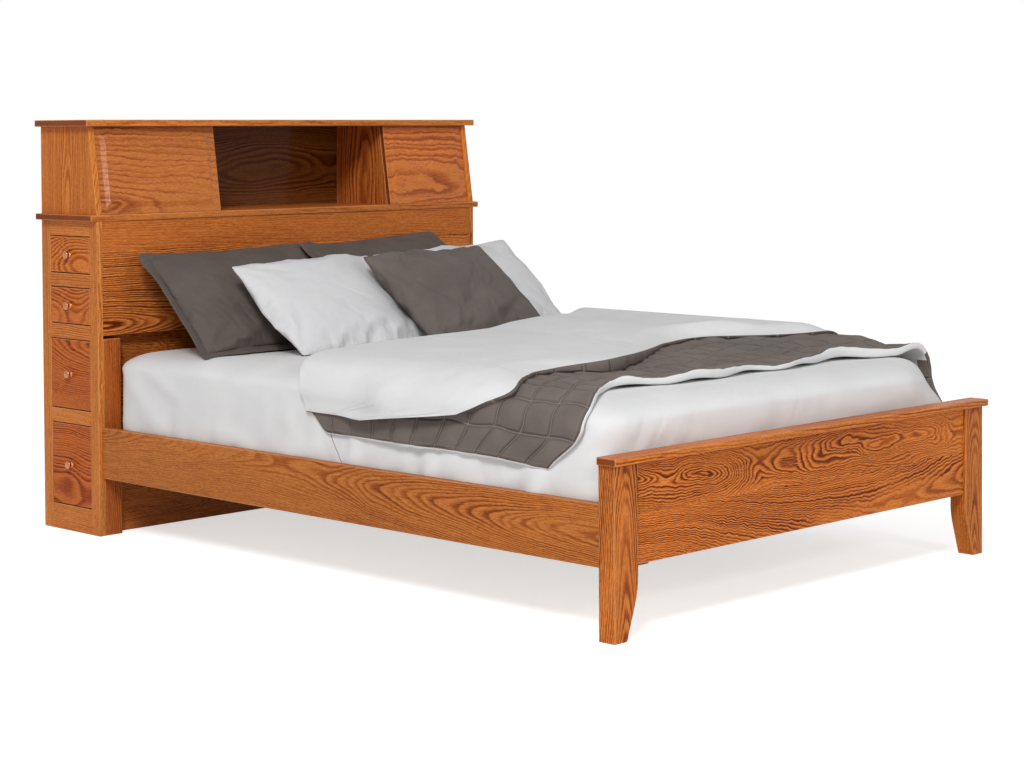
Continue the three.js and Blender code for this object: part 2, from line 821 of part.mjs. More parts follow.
function coverlet() {
  const stations = measureStations(coverletStations());
  const rimThickness = 6;
  const rimWidth = 22;
  const foldStep = 5;
  const foldRise = 45;
  const rippleDepth = 7;
  const rippleLength = 330;
  const upper = [];
  const lower = [];
  for (const { x, z, below, across, outward } of stations) {
    const foot = mattressFootY + between(quiltFootEdge, across);
    const fold = mattressFootY + between(quiltFoldEdge, across);
    const head = mattressFootY + between(quiltHeadEdge, across);
    const folded = below < foldDrop;
    const crest = THREE.MathUtils.lerp(foldThickness, sideFoldThickness, Math.min(below / foldDrop, 1));
    const full = quiltThickness + (folded ? crest - quiltThickness / 2 : 0);
    const atHem = below === quiltDrop;
    const flat = atHem ? rimThickness : quiltThickness;
    const raised = atHem ? rimThickness : full;
    const rows = [
      { y: foot, thick: rimThickness },
      { y: foot + rimWidth, thick: flat },
      { y: THREE.MathUtils.lerp(foot + rimWidth, fold - foldStep, 0.5), thick: flat },
      { y: fold - foldStep, thick: flat },
      { y: fold + foldStep, thick: THREE.MathUtils.lerp(flat, raised, 0.6) },
      { y: fold + foldRise, thick: raised },
    ];
    for (const share of [0.3, 0.6, 0.85]) {
      rows.push({ y: THREE.MathUtils.lerp(fold + foldRise, head - rimWidth, share), thick: raised });
    }
    rows.push({ y: head - rimWidth, thick: raised });
    rows.push({ y: head, thick: rimThickness });
    const hang = Math.max(0, below - mattressShoulderDrop) / (quiltDrop - mattressShoulderDrop);
    const place = (y, thick) => {
      const ripple = hang * rippleDepth * (0.5 + 0.5 * Math.sin((2 * Math.PI * y) / rippleLength));
      const out = clothGap + ripple + thick;
      return [x + outward.x * out, y, z + outward.y * out];
    };
    upper.push(rows.map(({ y, thick }) => place(y, thick)));
    lower.push(rows.map(({ y }) => place(y, 0)));
  }
  return closedSheet(upper, lower);
}

addPiece('coverlet', coverlet(), quiltCotton);

// A cushion lying flat: crowned faces, sides drawn in between the corners, and a flat flange if it has one
function cushion({ width, height, thickness, flange }) {
  const steps = 12;
  const drawnIn = 0.06;
  const rim = 2;
  const crownPower = 2.4;
  const bodyShares = [];
  for (let i = 0; i <= steps; i += 1) {
    bodyShares.push(Math.sin((i / steps - 0.5) * Math.PI));
  }
  const shares = (half) => {
    const body = bodyShares.map((share) => share * (half - flange));
    return flange > 0 ? [-half, ...body, half] : body;
  };
  const crown = (place, half) => Math.max(0, 1 - Math.abs(place / (half - flange)) ** crownPower) ** 0.6;
  const upper = [];
  const lower = [];
  for (const u of shares(width / 2)) {
    const upperLine = [];
    const lowerLine = [];
    for (const v of shares(height / 2)) {
      const x = u * (1 - drawnIn * (1 - (2 * v / height) ** 2) * (2 * u / width) ** 2);
      const y = v * (1 - drawnIn * (1 - (2 * u / width) ** 2) * (2 * v / height) ** 2);
      const rise = rim + (thickness / 2 - rim) * crown(u, width / 2) * crown(v, height / 2);
      upperLine.push([x, y, rise]);
      lowerLine.push([x, y, -rise]);
    }
    upper.push(upperLine);
    lower.push(lowerLine);
  }
  return closedSheet(upper, lower);
}

// Height of the mattress surface at a place across the bed
function mattressSurface(x) {
  const profile = shoulderProfile();
  const inset = halfMattress - Math.abs(x);
  for (let k = 0; k < shoulderSteps; k += 1) {
    const low = profile[k];
    const high = profile[k + 1];
    if (inset <= high.inset) {
      return low.z + ((high.z - low.z) * (inset - low.inset)) / (high.inset - low.inset);
    }
  }
  return mattressTop;
}

// How far each corner of a turned pillow lies above the mattress, with the pillow's middle at height 0
function restingHeights(pillow, x) {
  const heights = [];
  const position = pillow.geometry.attributes.position;
  const point = new THREE.Vector3();
  for (let i = 0; i < position.count; i += 1) {
    point.fromBufferAttribute(position, i).applyQuaternion(pillow.quaternion);
    heights.push(point.z - mattressSurface(x + point.x));
  }
  return heights;
}

// Pillows lean back on one another from the mattress, and each stands on its lowest corner. Each
// lies at x across the bed, with its middle so far from the head of the mattress
const pillows = [
  {
    name: 'pillow_sham_left', width: 636, height: 440, thickness: 115, flange: 38,
    x: -353, fromHead: 198, yaw: 0, lean: 39, roll: 2, cover: shamCotton,
  },
  {
    name: 'pillow_sham_right', width: 600, height: 450, thickness: 105, flange: 38,
    x: 298, fromHead: 200, yaw: 2, lean: 40, roll: 2, cover: shamCotton,
  },
  {
    name: 'pillow_white_left', width: 570, height: 396, thickness: 130, flange: 0,
    x: -215, fromHead: 420, yaw: 1, lean: 40, roll: 1.5, cover: sheetCotton,
  },
  {
    name: 'pillow_white_right', width: 600, height: 390, thickness: 105, flange: 0,
    x: 417, fromHead: 366, yaw: -4, lean: 42, roll: 4, cover: sheetCotton,
  },
  {
    name: 'pillow_accent', width: 560, height: 370, thickness: 105, flange: 0,
    x: 212, fromHead: 524, yaw: 5, lean: 44, roll: 2, cover: shamCotton,
  },
];

const { degToRad } = THREE.MathUtils;
const faceAxis = new THREE.Vector3(0, 0, 1);
for (const { name, x, fromHead, yaw, lean, roll, cover, ...size } of pillows) {
  const pillow = addPiece(name, cushion(size), cover);
  const spin = new THREE.Quaternion().setFromAxisAngle(faceAxis, degToRad(roll));
  pillow.quaternion.setFromEuler(new THREE.Euler(degToRad(lean), 0, degToRad(yaw), 'ZXY'));
  pillow.quaternion.multiply(spin);
  const heights = restingHeights(pillow, x);
  pillow.position.set(x, mattressHeadY - fromHead, clothGap - Math.min(...heights));
}

export default bed;
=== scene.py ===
# Looks of the queen storage bed: stained oak, turned copper knobs, quilted coverlet, sheet and pillows.
# Metres, +Z up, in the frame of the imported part. The footboard is at -Y and the headboard at +Y.

import json
import math

import bmesh
import bpy
import numpy as np
from mathutils import Matrix, Vector, noise

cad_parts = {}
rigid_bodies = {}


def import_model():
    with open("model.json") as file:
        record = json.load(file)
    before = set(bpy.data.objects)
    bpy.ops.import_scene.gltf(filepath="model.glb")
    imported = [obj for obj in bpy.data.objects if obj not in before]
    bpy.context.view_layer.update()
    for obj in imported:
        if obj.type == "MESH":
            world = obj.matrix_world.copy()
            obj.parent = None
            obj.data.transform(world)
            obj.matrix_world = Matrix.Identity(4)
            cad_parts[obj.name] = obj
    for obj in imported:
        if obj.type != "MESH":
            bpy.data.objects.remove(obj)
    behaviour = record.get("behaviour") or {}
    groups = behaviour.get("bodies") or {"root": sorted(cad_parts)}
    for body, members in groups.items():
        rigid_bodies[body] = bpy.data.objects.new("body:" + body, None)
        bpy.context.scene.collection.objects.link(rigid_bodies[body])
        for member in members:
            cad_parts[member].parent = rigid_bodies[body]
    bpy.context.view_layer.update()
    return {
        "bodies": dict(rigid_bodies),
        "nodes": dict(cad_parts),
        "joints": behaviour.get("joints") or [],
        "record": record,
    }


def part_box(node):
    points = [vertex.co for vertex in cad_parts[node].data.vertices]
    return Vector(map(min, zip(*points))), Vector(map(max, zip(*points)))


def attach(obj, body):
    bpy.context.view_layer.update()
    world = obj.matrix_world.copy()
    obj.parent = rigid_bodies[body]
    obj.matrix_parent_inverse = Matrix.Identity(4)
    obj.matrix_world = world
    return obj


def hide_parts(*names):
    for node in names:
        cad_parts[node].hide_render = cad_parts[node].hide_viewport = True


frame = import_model()
nodes = frame["nodes"]
scene = bpy.context.scene


# Camera
PICTURE_WIDTH = 1024
PICTURE_HEIGHT = 768
SENSOR = 36.0
FOCAL_PIXELS = 2231.7
HORIZON_ROW = 200
CAMERA_PLACE = Vector((-4.7435, -4.7295, 1.2291))
CAMERA_YAW = 0.77637
CAMERA_PITCH = 0.03088
CAMERA_ROLL = 0.00505


def add_camera():
    """A level camera at the front left corner, with its lens shifted down to the bed."""
    data = bpy.data.cameras.new("camera")
    data.sensor_width = SENSOR
    data.lens = FOCAL_PIXELS / PICTURE_WIDTH * SENSOR
    data.shift_y = (HORIZON_ROW - PICTURE_HEIGHT / 2) / PICTURE_WIDTH
    data.clip_start = 0.1
    data.clip_end = 200
    camera = bpy.data.objects.new("camera", data)
    scene.collection.objects.link(camera)
    sin_yaw, cos_yaw = math.sin(CAMERA_YAW), math.cos(CAMERA_YAW)
    sin_pitch, cos_pitch = math.sin(CAMERA_PITCH), math.cos(CAMERA_PITCH)
    level_right = Vector((sin_yaw, -cos_yaw, 0))
    forward = Vector((cos_yaw * cos_pitch, sin_yaw * cos_pitch, -sin_pitch))
    level_up = Vector((cos_yaw * sin_pitch, sin_yaw * sin_pitch, cos_pitch))
    sin_roll, cos_roll = math.sin(CAMERA_ROLL), math.cos(CAMERA_ROLL)
    right = level_right * cos_roll - level_up * sin_roll
    up = level_up * cos_roll + level_right * sin_roll
    turn = Matrix((right, up, -forward)).transposed().to_4x4()
    camera.matrix_world = Matrix.Translation(CAMERA_PLACE) @ turn
    scene.camera = camera


# Node trees
class Graph:
    """Adds nodes to one node tree. A value is a socket or a plain number, colour or vector."""

    def __init__(self, tree):
        self.tree = tree

    def node(self, kind, inputs=None, **settings):
        made = self.tree.nodes.new(kind)
        for name, value in settings.items():
            setattr(made, name, value)
        for key, value in (inputs or {}).items():
            self.feed(made.inputs[key], value)
        return made

    def feed(self, socket, value):
        if isinstance(value, bpy.types.NodeSocket):
            self.tree.links.new(value, socket)
        else:
            socket.default_value = value

    def math(self, operation, *values, clamp=False):
        made = self.node("ShaderNodeMath", operation=operation, use_clamp=clamp)
        for socket, value in zip(made.inputs, values):
            self.feed(socket, value)
        return made.outputs[0]

    def vector_math(self, operation, *values):
        made = self.node("ShaderNodeVectorMath", operation=operation)
        for socket, value in zip(made.inputs, values):
            self.feed(socket, value)
        return made.outputs[0]

    def dot(self, first, second):
        made = self.node("ShaderNodeVectorMath", {0: first, 1: second}, operation="DOT_PRODUCT")
        return made.outputs["Value"]

    def split(self, vector):
        return self.node("ShaderNodeSeparateXYZ", {0: vector}).outputs

    def combine(self, x, y, z):
        return self.node("ShaderNodeCombineXYZ", {0: x, 1: y, 2: z}).outputs[0]

    def noise(self, vector, scale=1.0, detail=2.0, roughness=0.5):
        inputs = {"Vector": vector, "Scale": scale, "Detail": detail, "Roughness": roughness}
        return self.node("ShaderNodeTexNoise", inputs).outputs

    def ramp(self, value, stops):
        made = self.node("ShaderNodeValToRGB", {0: value})
        elements = made.color_ramp.elements
        while len(elements) < len(stops):
            elements.new(0.5)
        for element, (place, level) in zip(elements, stops):
            element.position = place
            element.color = (level, level, level, 1)
        return made.outputs[0]

    def range(self, value, low, high, to_low=0.0, to_high=1.0):
        inputs = {0: value, 1: low, 2: high, 3: to_low, 4: to_high}
        return self.node("ShaderNodeMapRange", inputs, interpolation_type="SMOOTHSTEP").outputs[0]

    def mix(self, factor, first, second, blend="MIX"):
        made = self.node("ShaderNodeMix", data_type="RGBA", blend_type=blend)
        self.feed(made.inputs[0], factor)
        self.feed(made.inputs[6], first)
        self.feed(made.inputs[7], second)
        return made.outputs[2]

    def between(self, factor, first, second):
        made = self.node("ShaderNodeMix", data_type="FLOAT")
        self.feed(made.inputs[0], factor)
        self.feed(made.inputs[2], first)
        self.feed(made.inputs[3], second)
        return made.outputs[0]


SOCKET_KINDS = {"value": "NodeSocketFloat", "vector": "NodeSocketVector", "colour": "NodeSocketColor"}


def shader_group(name, inputs, outputs):
    """An empty shader node group, with its graph, its input sockets and its output node."""
    tree = bpy.data.node_groups.new(name, "ShaderNodeTree")
    for label, kind in inputs:
        tree.interface.new_socket(label, in_out="INPUT", socket_type=SOCKET_KINDS[kind])
    for label, kind in outputs:
        tree.interface.new_socket(label, in_out="OUTPUT", socket_type=SOCKET_KINDS[kind])
    graph = Graph(tree)
    return tree, graph, graph.node("NodeGroupInput").outputs, graph.node("NodeGroupOutput").inputs


def colour(red, green, blue):
    """A paint colour from 0 to 255, as the linear value that a shader takes."""
    def linear(level):
        share = level / 255
        return share / 12.92 if share <= 0.04045 else ((share + 0.055) / 1.055) ** 2.4
    return (linear(red), linear(green), linear(blue), 1)


# Oak: a log of growth rings sawn into boards that are glued side by side
END_GRAIN = colour(104, 32, 8)
GRAIN_NUMBERS = (
    "Seed", "Level", "Heart", "Heart Depth", "Tilt", "Board Width", "Ring Width", "Wave", "Swirl", "Ripple",
    "Spikes", "Contrast",
)


# Places across one growth ring, and how dark its pores make it there
RING_DARKNESS = ((0.0, 0.5), (0.08, 1.0), (0.25, 0.8), (0.48, 0.2), (0.7, 0.0), (0.93, 0.0), (1.0, 0.5))


def oak_grain_group():
    """Board is (along, across, deep) in metres, and Face the normal in the same order."""
    tree, g, given, out = shader_group(
        "oak_grain",
        [
            ("Board", "vector"), ("Face", "vector"),
            *((label, "value") for label in GRAIN_NUMBERS),
            ("Light", "colour"), ("Middle", "colour"), ("Dark", "colour"),
        ],
        [("Colour", "colour"), ("Roughness", "value"), ("Height", "value")],
    )
    along, across, deep = g.split(given["Board"])
    spikes = g.noise(g.vector_math("MULTIPLY", given["Board"], (8, 380, 380)), detail=3, roughness=0.65)["Fac"]
    along = g.math("ADD", along, g.math("MULTIPLY", g.math("SUBTRACT", spikes, 0.5), given["Spikes"]))
    teeth = g.noise(g.vector_math("MULTIPLY", given["Board"], (42, 26, 26)), detail=1.5)["Fac"]
    across = g.math("ADD", across, g.math("MULTIPLY", g.math("SUBTRACT", teeth, 0.5), given["Ripple"]))
    place = g.math("DIVIDE", g.math("SUBTRACT", across, given["Heart"]), given["Board Width"])
    place = g.math("ADD", place, 0.5)
    number = g.math("FLOOR", place)
    draw = g.node(
        "ShaderNodeTexWhiteNoise", {"Vector": g.combine(number, given["Seed"], 0.5)}, noise_dimensions="3D",
    )
    first, _, third = g.node("ShaderNodeSeparateColor", {0: draw.outputs["Color"]}).outputs
    other = g.math("MINIMUM", g.math("ABSOLUTE", number), 1.0)
    moved = g.math("MULTIPLY", other, g.math("SUBTRACT", first, 0.5))
    to_heart = g.math("ADD", g.math("SUBTRACT", g.math("FRACT", place), 0.5), moved)
    sideways = g.math("MULTIPLY", to_heart, given["Board Width"])
    shifted = g.math("ADD", along, g.math("MULTIPLY", g.math("ADD", other, given["Seed"]), 3.0))
    solid = g.combine(shifted, g.math("ADD", across, given["Seed"]), deep)

    wave = g.noise(g.vector_math("MULTIPLY", solid, (2.6, 1.5, 1.5)), detail=1, roughness=0.4)["Fac"]
    slow = g.noise(g.vector_math("MULTIPLY", solid, (5, 14, 14)), detail=1, roughness=0.4)
    bend = g.node("ShaderNodeSeparateColor", {0: slow["Color"]}).outputs
    warp = [g.math("MULTIPLY", g.math("SUBTRACT", b, 0.5), given["Swirl"]) for b in bend[:2]]

    lean = g.math("MULTIPLY", along, given["Tilt"])
    rolling = g.math("MULTIPLY", g.math("SUBTRACT", wave, 0.5), given["Wave"])
    depth = g.math("ADD", g.math("ADD", given["Heart Depth"], lean), g.math("ADD", rolling, warp[0]))
    depth = g.math("ADD", depth, g.math("SUBTRACT", deep, given["Level"]))
    side = g.math("ADD", sideways, warp[1])
    radius = g.math("SQRT", g.math("ADD", g.math("MULTIPLY", side, side), g.math("MULTIPLY", depth, depth)))
    uneven = g.noise(g.combine(g.math("MULTIPLY", radius, 70), third, given["Seed"]), detail=1)["Fac"]
    rings = g.math("DIVIDE", radius, given["Ring Width"])
    rings = g.math("ADD", rings, g.math("MULTIPLY", uneven, 1.5))
    ring = g.math("FRACT", rings)
    early = g.ramp(ring, RING_DARKNESS)
    year = g.node(
        "ShaderNodeTexWhiteNoise", {"Vector": g.combine(g.math("FLOOR", rings), number, given["Seed"])},
        noise_dimensions="3D",
    ).outputs["Value"]
    early = g.math("MULTIPLY", early, g.math("ADD", g.math("MULTIPLY", year, 0.6), 0.4))
    patches = g.noise(g.vector_math("MULTIPLY", solid, (1.6, 11, 11)), detail=1.5)["Fac"]
    early = g.math("MULTIPLY", early, g.range(patches, 0.3, 0.56, 0.22, 1.0))

    pore_noise = g.noise(g.vector_math("MULTIPLY", solid, (110, 1300, 1300)), detail=1)["Fac"]
    pores = g.range(pore_noise, 0.56, 0.7)
    fibre = g.noise(g.vector_math("MULTIPLY", solid, (14, 420, 420)), detail=4, roughness=0.7)["Fac"]
    fibre = g.math("SUBTRACT", fibre, 0.5)
    specks = g.noise(g.vector_math("MULTIPLY", solid, (85, 420, 420)), detail=2, roughness=0.6)["Fac"]
    end_face = g.math("ABSOLUTE", g.split(given["Face"])[0])
    end_grain = g.range(end_face, 0.6, 0.95)

    porous = g.math("MULTIPLY", early, g.math("ADD", g.math("MULTIPLY", fibre, 1.2), 1.0))
    shade = g.math("MULTIPLY", porous, given["Contrast"])
    shade = g.math("ADD", shade, g.math("MULTIPLY", fibre, 0.7))
    shade = g.math("ADD", shade, g.math("MULTIPLY", g.math("SUBTRACT", specks, 0.5), 0.7))
    shade = g.math("ADD", shade, g.math("MULTIPLY", pores, 0.2))
    shade = g.math("ADD", shade, 0.13, clamp=True)
    pale = g.mix(g.range(shade, 0.0, 0.45), given["Light"], given["Middle"])
    stained = g.mix(g.range(shade, 0.35, 0.95), pale, given["Dark"])
    stained = g.mix(g.math("MULTIPLY", end_grain, 0.75), stained, END_GRAIN)
    cloudy = g.noise(g.vector_math("MULTIPLY", solid, (1.7, 6, 6)), detail=3)["Fac"]
    by_board = g.math("MULTIPLY", g.math("MULTIPLY", other, first), 0.12)
    tone = g.math("ADD", g.math("MULTIPLY", cloudy, 0.5), by_board)
    level = g.math("ADD", tone, 0.72)
    g.feed(out["Colour"], g.mix(1.0, stained, g.combine(level, level, level), blend="MULTIPLY"))
    g.feed(out["Roughness"], g.range(shade, 0.1, 0.9, 0.36, 0.52))
    g.feed(out["Height"], g.math("SUBTRACT", 1.0, g.math("MAXIMUM", g.math("MULTIPLY", early, 0.5), pores)))
    return tree


# Stain rubbed thin on the edges, lightened further as a painted highlight along the arrises
RUBBED_EDGE_AND_HIGHLIGHT = colour(240, 176, 118)
AXES = {"x": 0, "y": 1, "z": 2}
STAIN_LIGHT = colour(222, 138, 66)
STAIN_MIDDLE = colour(172, 88, 32)
STAIN_DARK = colour(98, 38, 8)


def board_order(g, vector, along, across):
    """A vector's parts in the order of a board: along its grain, across its face and into it."""
    parts = g.split(vector)
    deep = ({0, 1, 2} - {AXES[along], AXES[across]}).pop()
    return g.combine(parts[AXES[along]], parts[AXES[across]], parts[deep])


def heart_path(g, along, path):
    """The heart's place across, its depth and the grain's strength, from places listed along a board."""
    first, last = path[0][0], path[-1][0]
    made = g.node("ShaderNodeValToRGB", {0: g.math("DIVIDE", g.math("SUBTRACT", along, first), last - first)})
    ramp = made.color_ramp
    ramp.interpolation = "CARDINAL"
    for place, *_ in path[1:-1]:
        ramp.elements.new((place - first) / (last - first))
    for element, (_, heart, depth, strength) in zip(ramp.elements, path):
        element.color = ((heart + 1) / 2, depth, strength, 1)
    heart, depth, strength = g.node("ShaderNodeSeparateColor", {0: made.outputs[0]}).outputs
    return g.math("SUBTRACT", g.math("MULTIPLY", heart, 2), 1), depth, strength


def add_grain(g, places, along, across, seed, level=0.0, heart=0.0, depth=0.1, tilt=0.03, boards=1.0,
              ring=0.006, wave=0.03, swirl=0.012, ripple=0.003, spikes=0.05, contrast=0.7, tint=1.0,
              light=STAIN_LIGHT, middle=STAIN_MIDDLE, dark=STAIN_DARK, path=None):
    """One board's grain. Its growth rings centre on a line along the board, at heart across it."""
    grain = g.node("ShaderNodeGroup", node_tree=oak_grain)
    if path:
        heart, depth, strength = heart_path(g, g.split(places["Object"])[AXES[along]], path)
        contrast = g.math("MULTIPLY", strength, contrast)
    tints = np.broadcast_to(tint, 3)
    shades = [tuple(float(c) for c in tints * shade[:3]) + (1,) for shade in (light, middle, dark)]
    values = {
        "Board": board_order(g, places["Object"], along, across),
        "Face": board_order(g, places["Normal"], along, across),
        "Light": shades[0], "Middle": shades[1], "Dark": shades[2],
    }
    numbers = (seed, level, heart, depth, tilt, boards, ring, wave, swirl, ripple, spikes, contrast)
    values.update(zip(GRAIN_NUMBERS, numbers))
    for key, value in values.items():
        g.feed(grain.inputs[key], value)
    return grain.outputs


def oak_material(name, board, second=None, where=None, coat=0.12):
    """Stained oak under satin lacquer. A second board may show where a mask of the place is 1."""
    material, g, shader = new_material(name)
    places = g.node("ShaderNodeTexCoord").outputs
    grain = add_grain(g, places, **board)
    colour_out, roughness, height = grain["Colour"], grain["Roughness"], grain["Height"]
    if second:
        other = add_grain(g, places, **second)
        mask = where(g, g.split(places["Object"]))
        colour_out = g.mix(mask, colour_out, other["Colour"])
        roughness = g.between(mask, roughness, other["Roughness"])
        height = g.between(mask, height, other["Height"])
    soft_edge = g.node("ShaderNodeBevel", {"Radius": 0.0045}, samples=4)
    on_edge = g.range(g.dot(soft_edge.outputs[0], places["Normal"]), 0.995, 0.86)
    # Edges painted lighter: partly rubbed stain, partly a painted highlight
    colour_out = g.mix(g.math("MULTIPLY", on_edge, 0.75), colour_out, RUBBED_EDGE_AND_HIGHLIGHT)
    bump = g.node(
        "ShaderNodeBump",
        {"Height": height, "Strength": 0.25, "Distance": 0.0004, "Normal": soft_edge.outputs[0]},
    )
    g.feed(shader.inputs["Base Color"], colour_out)
    g.feed(shader.inputs["Roughness"], roughness)
    g.feed(shader.inputs["Normal"], bump.outputs[0])
    shader.inputs["Specular IOR Level"].default_value = 0.03
    shader.inputs["Coat Weight"].default_value = coat
    shader.inputs["Coat Roughness"].default_value = 0.12
    return material


def new_material(name):
    material = bpy.data.materials.new(name)
    material.use_nodes = True
    tree = material.node_tree
    return material, Graph(tree), tree.nodes["Principled BSDF"]


def dress(material, *names):
    """Gives CAD nodes a material."""
    for name in names:
        data = nodes[name].data
        data.materials.clear()
        data.materials.append(material)


oak_grain = oak_grain_group()
SIDES = ("left", "right")
NUMBERS = (1, 2, 3, 4)


def lying(seed, **values):
    """Grain along the bed's width on a face that stands up."""
    return dict(along="x", across="z", seed=seed, **values)


def standing(seed, **values):
    """Grain that stands up, on a face along the bed's length."""
    return dict(along="z", across="y", seed=seed, **values)


def between_stiles(g, place):
    """1 on the side frame's rails, between its two stiles."""
    half = (0.295 - 0.045 - 0.040) / 2
    middle = 0.909 + 0.040 + half
    return g.math("LESS_THAN", g.math("ABSOLUTE", g.math("SUBTRACT", place[1], middle)), half)


def below_joint(g, place):
    """1 on the lower of the footboard panel's two boards."""
    return g.math("LESS_THAN", place[2], 0.302)


def plain_band(g, place):
    """1 on the plain upper board of the upper panel."""
    return g.math("GREATER_THAN", place[2], 0.868)


def at_the_rear(g, place):
    """1 on the faces that look away from the bed."""
    return g.math("GREATER_THAN", place[1], 1.202)


# The heart's path in a face's log: place along, place across, depth under the face, strength of the grain
UPPER_PANEL_PATH = (
    (-0.717, 0.645, 0.04, 1.25), (-0.45, 0.65, 0.062, 1.25), (-0.2, 0.66, 0.085, 0.9), (0.2, 0.68, 0.11, 0.75),
    (0.717, 0.70, 0.13, 0.7),
)
RAIL_PATH = (
    (0.909, 0.33, 0.02, 0.4), (0.75, 0.335, 0.035, 0.4), (0.55, 0.335, 0.05, 0.3), (0.2, 0.33, 0.09, 0.35),
    (-0.1, 0.30, 0.10, 0.6), (-0.3, 0.283, 0.09, 0.8), (-0.8, 0.262, 0.067, 0.9), (-1.138, 0.25, 0.053, 0.95),
)
FOOT_UPPER_PATH = (
    (-0.711, 0.385, 0.025, 1.0), (-0.6, 0.37, 0.04, 1.0), (-0.5, 0.375, 0.03, 1.0), (-0.36, 0.36, 0.05, 0.9),
    (-0.22, 0.368, 0.082, 1.0), (-0.02, 0.372, 0.05, 1.0), (0.12, 0.38, 0.036, 0.9), (0.3, 0.375, 0.026, 0.7),
    (0.5, 0.37, 0.03, 0.5), (0.711, 0.36, 0.04, 0.4),
)
FOOT_LOWER_PATH = (
    (-0.711, 0.175, 0.03, 1.0), (-0.5, 0.165, 0.045, 0.9), (-0.25, 0.145, 0.075, 1.0), (0.1, 0.15, 0.11, 1.0),
    (0.4, 0.19, 0.12, 1.0), (0.711, 0.235, 0.10, 1.0),
)
LEFT_DOOR_PATH = (
    (-0.781, 1.0, 0.03, 1.0), (-0.7, 1.0, 0.05, 0.9), (-0.55, 1.0, 0.075, 0.6), (-0.32, 1.01, 0.085, 0.6),
)
DRAWER_TINTS = ((0.9, 0.68, 0.56), (0.9, 0.7, 0.6), (1.0, 0.84, 0.78), (1.1, 0.98, 0.8))


def dress_headboard():
    upper = lying(3.3, level=0.911, path=UPPER_PANEL_PATH, ring=0.0062, swirl=0.018, wave=0.03, contrast=1.1,
                  tint=(1.1, 1.1, 1.25))
    plain = lying(4.6, level=0.911, heart=0.70, depth=0.2, ring=0.006, contrast=0.3, tint=(0.88, 0.78, 0.7))
    dress(oak_material("oak_upper_panel", upper, plain, plain_band), "upper_front_panel")
    lower = lying(5.1, level=0.947, heart=0.38, depth=0.2, tilt=0.1, ring=0.0035, wave=0.06, swirl=0.02,
                  contrast=1.0)
    dress(oak_material("oak_lower_panel", lower), "lower_front_panel")
    dress(oak_material("oak_case_back", lying(7.7, level=1.2, boards=0.2)), "case_back")
    # Painted shade: the back inside the bookcase is darkened far below the stain to stand in for the shade
    # there
    back_in_painted_shade = lying(2.2, level=1.19, heart=1.1, wave=0.08, swirl=0.02, tint=0.25)
    rear = lying(6.1, level=1.2, boards=0.2)
    dress(oak_material("oak_bookcase_back", back_in_painted_shade, rear, at_the_rear), "bookcase_back")
    ledge = dict(along="x", across="y", seed=8.4, level=0.98, heart=1.3, contrast=0.35, tint=(0.9, 0.85, 0.85))
    dress(oak_material("oak_ledge", ledge), "headboard_ledge")
    cap = dict(along="x", across="y", seed=9.6, level=1.27, heart=1.35, contrast=0.25, tint=(0.98, 0.98, 1.0))
    dress(oak_material("oak_top_cap", cap), "headboard_top_cap")
    stile = dict(along="z", across="x", seed=11.2, level=0.909, heart=-0.9, contrast=0.4,
                 tint=(0.78, 0.63, 0.62))
    dress(oak_material("oak_stile", stile), "front_stile_left", "front_stile_right")
    door = lying(16.4, level=0.93, path=LEFT_DOOR_PATH, ring=0.019, swirl=0.03, ripple=0.013, contrast=0.5,
                 tint=(0.9, 0.83, 0.72))
    dress(oak_material("oak_door_left", door, coat=0.4), "sliding_door_left")
    door = lying(18.9, level=0.93, heart=1.07, ring=0.017, swirl=0.03, ripple=0.016, contrast=0.45,
                 tint=(1.0, 0.87, 0.74))
    dress(oak_material("oak_door_right", door, coat=0.4), "sliding_door_right")


def dress_side(side, outer, odd):
    """The case's end, the bookcase's end and divider, the rail and the post on one side of the bed."""
    side_rail = dict(along="y", across="z", seed=13.7, level=outer, heart=0.4, contrast=0.35)
    frame = standing(12.5, level=outer, heart=1.4, ring=0.0045, contrast=0.6, tint=(1.1, 1.16, 1.2))
    dress(oak_material(f"oak_side_frame_{side}", frame, side_rail, between_stiles), f"case_side_frame_{side}")
    bookcase = standing(14.8, level=outer, heart=1.06, depth=0.03, tilt=0.01, ring=0.0052, wave=0.02,
                        contrast=0.55, tint=(1.12, 1.1, 0.95))
    dress(oak_material(f"oak_bookcase_side_{side}", bookcase), f"bookcase_side_{side}")
    divider = standing(15.3, level=outer / 2, heart=1.05, tint=(0.86, 0.84, 0.9))
    dress(oak_material(f"oak_divider_{side}", divider), f"bookcase_divider_{side}")
    rail = dict(along="y", across="z", seed=21.4 + odd, level=outer, path=RAIL_PATH, ring=0.004, wave=0.01,
                tint=(0.78, 0.78, 0.76))
    dress(oak_material(f"oak_rail_{side}", rail), f"side_rail_{side}")
    post = dict(along="z", across="x", seed=24.4 + odd, level=-1.191, heart=math.copysign(0.757, outer),
                depth=0.03, tilt=0.08, ring=0.005, contrast=(1.4, 0.6)[odd], tint=(0.94, 0.88, 0.74))
    dress(oak_material(f"oak_post_{side}", post), f"footboard_post_{side}")
    for n in NUMBERS:
        name = f"drawer_front_{side}_{n}"
        front = dict(along="y", across="z", seed=30.3 + 4 * odd + n, level=outer,
                     heart=(0.14, 0.6, 0.66, 0.82)[n - 1], depth=0.12, tilt=0.06, wave=0.09, ring=0.0042,
                     tint=DRAWER_TINTS[n - 1])
        dress(oak_material(f"oak_{name}", front), name)


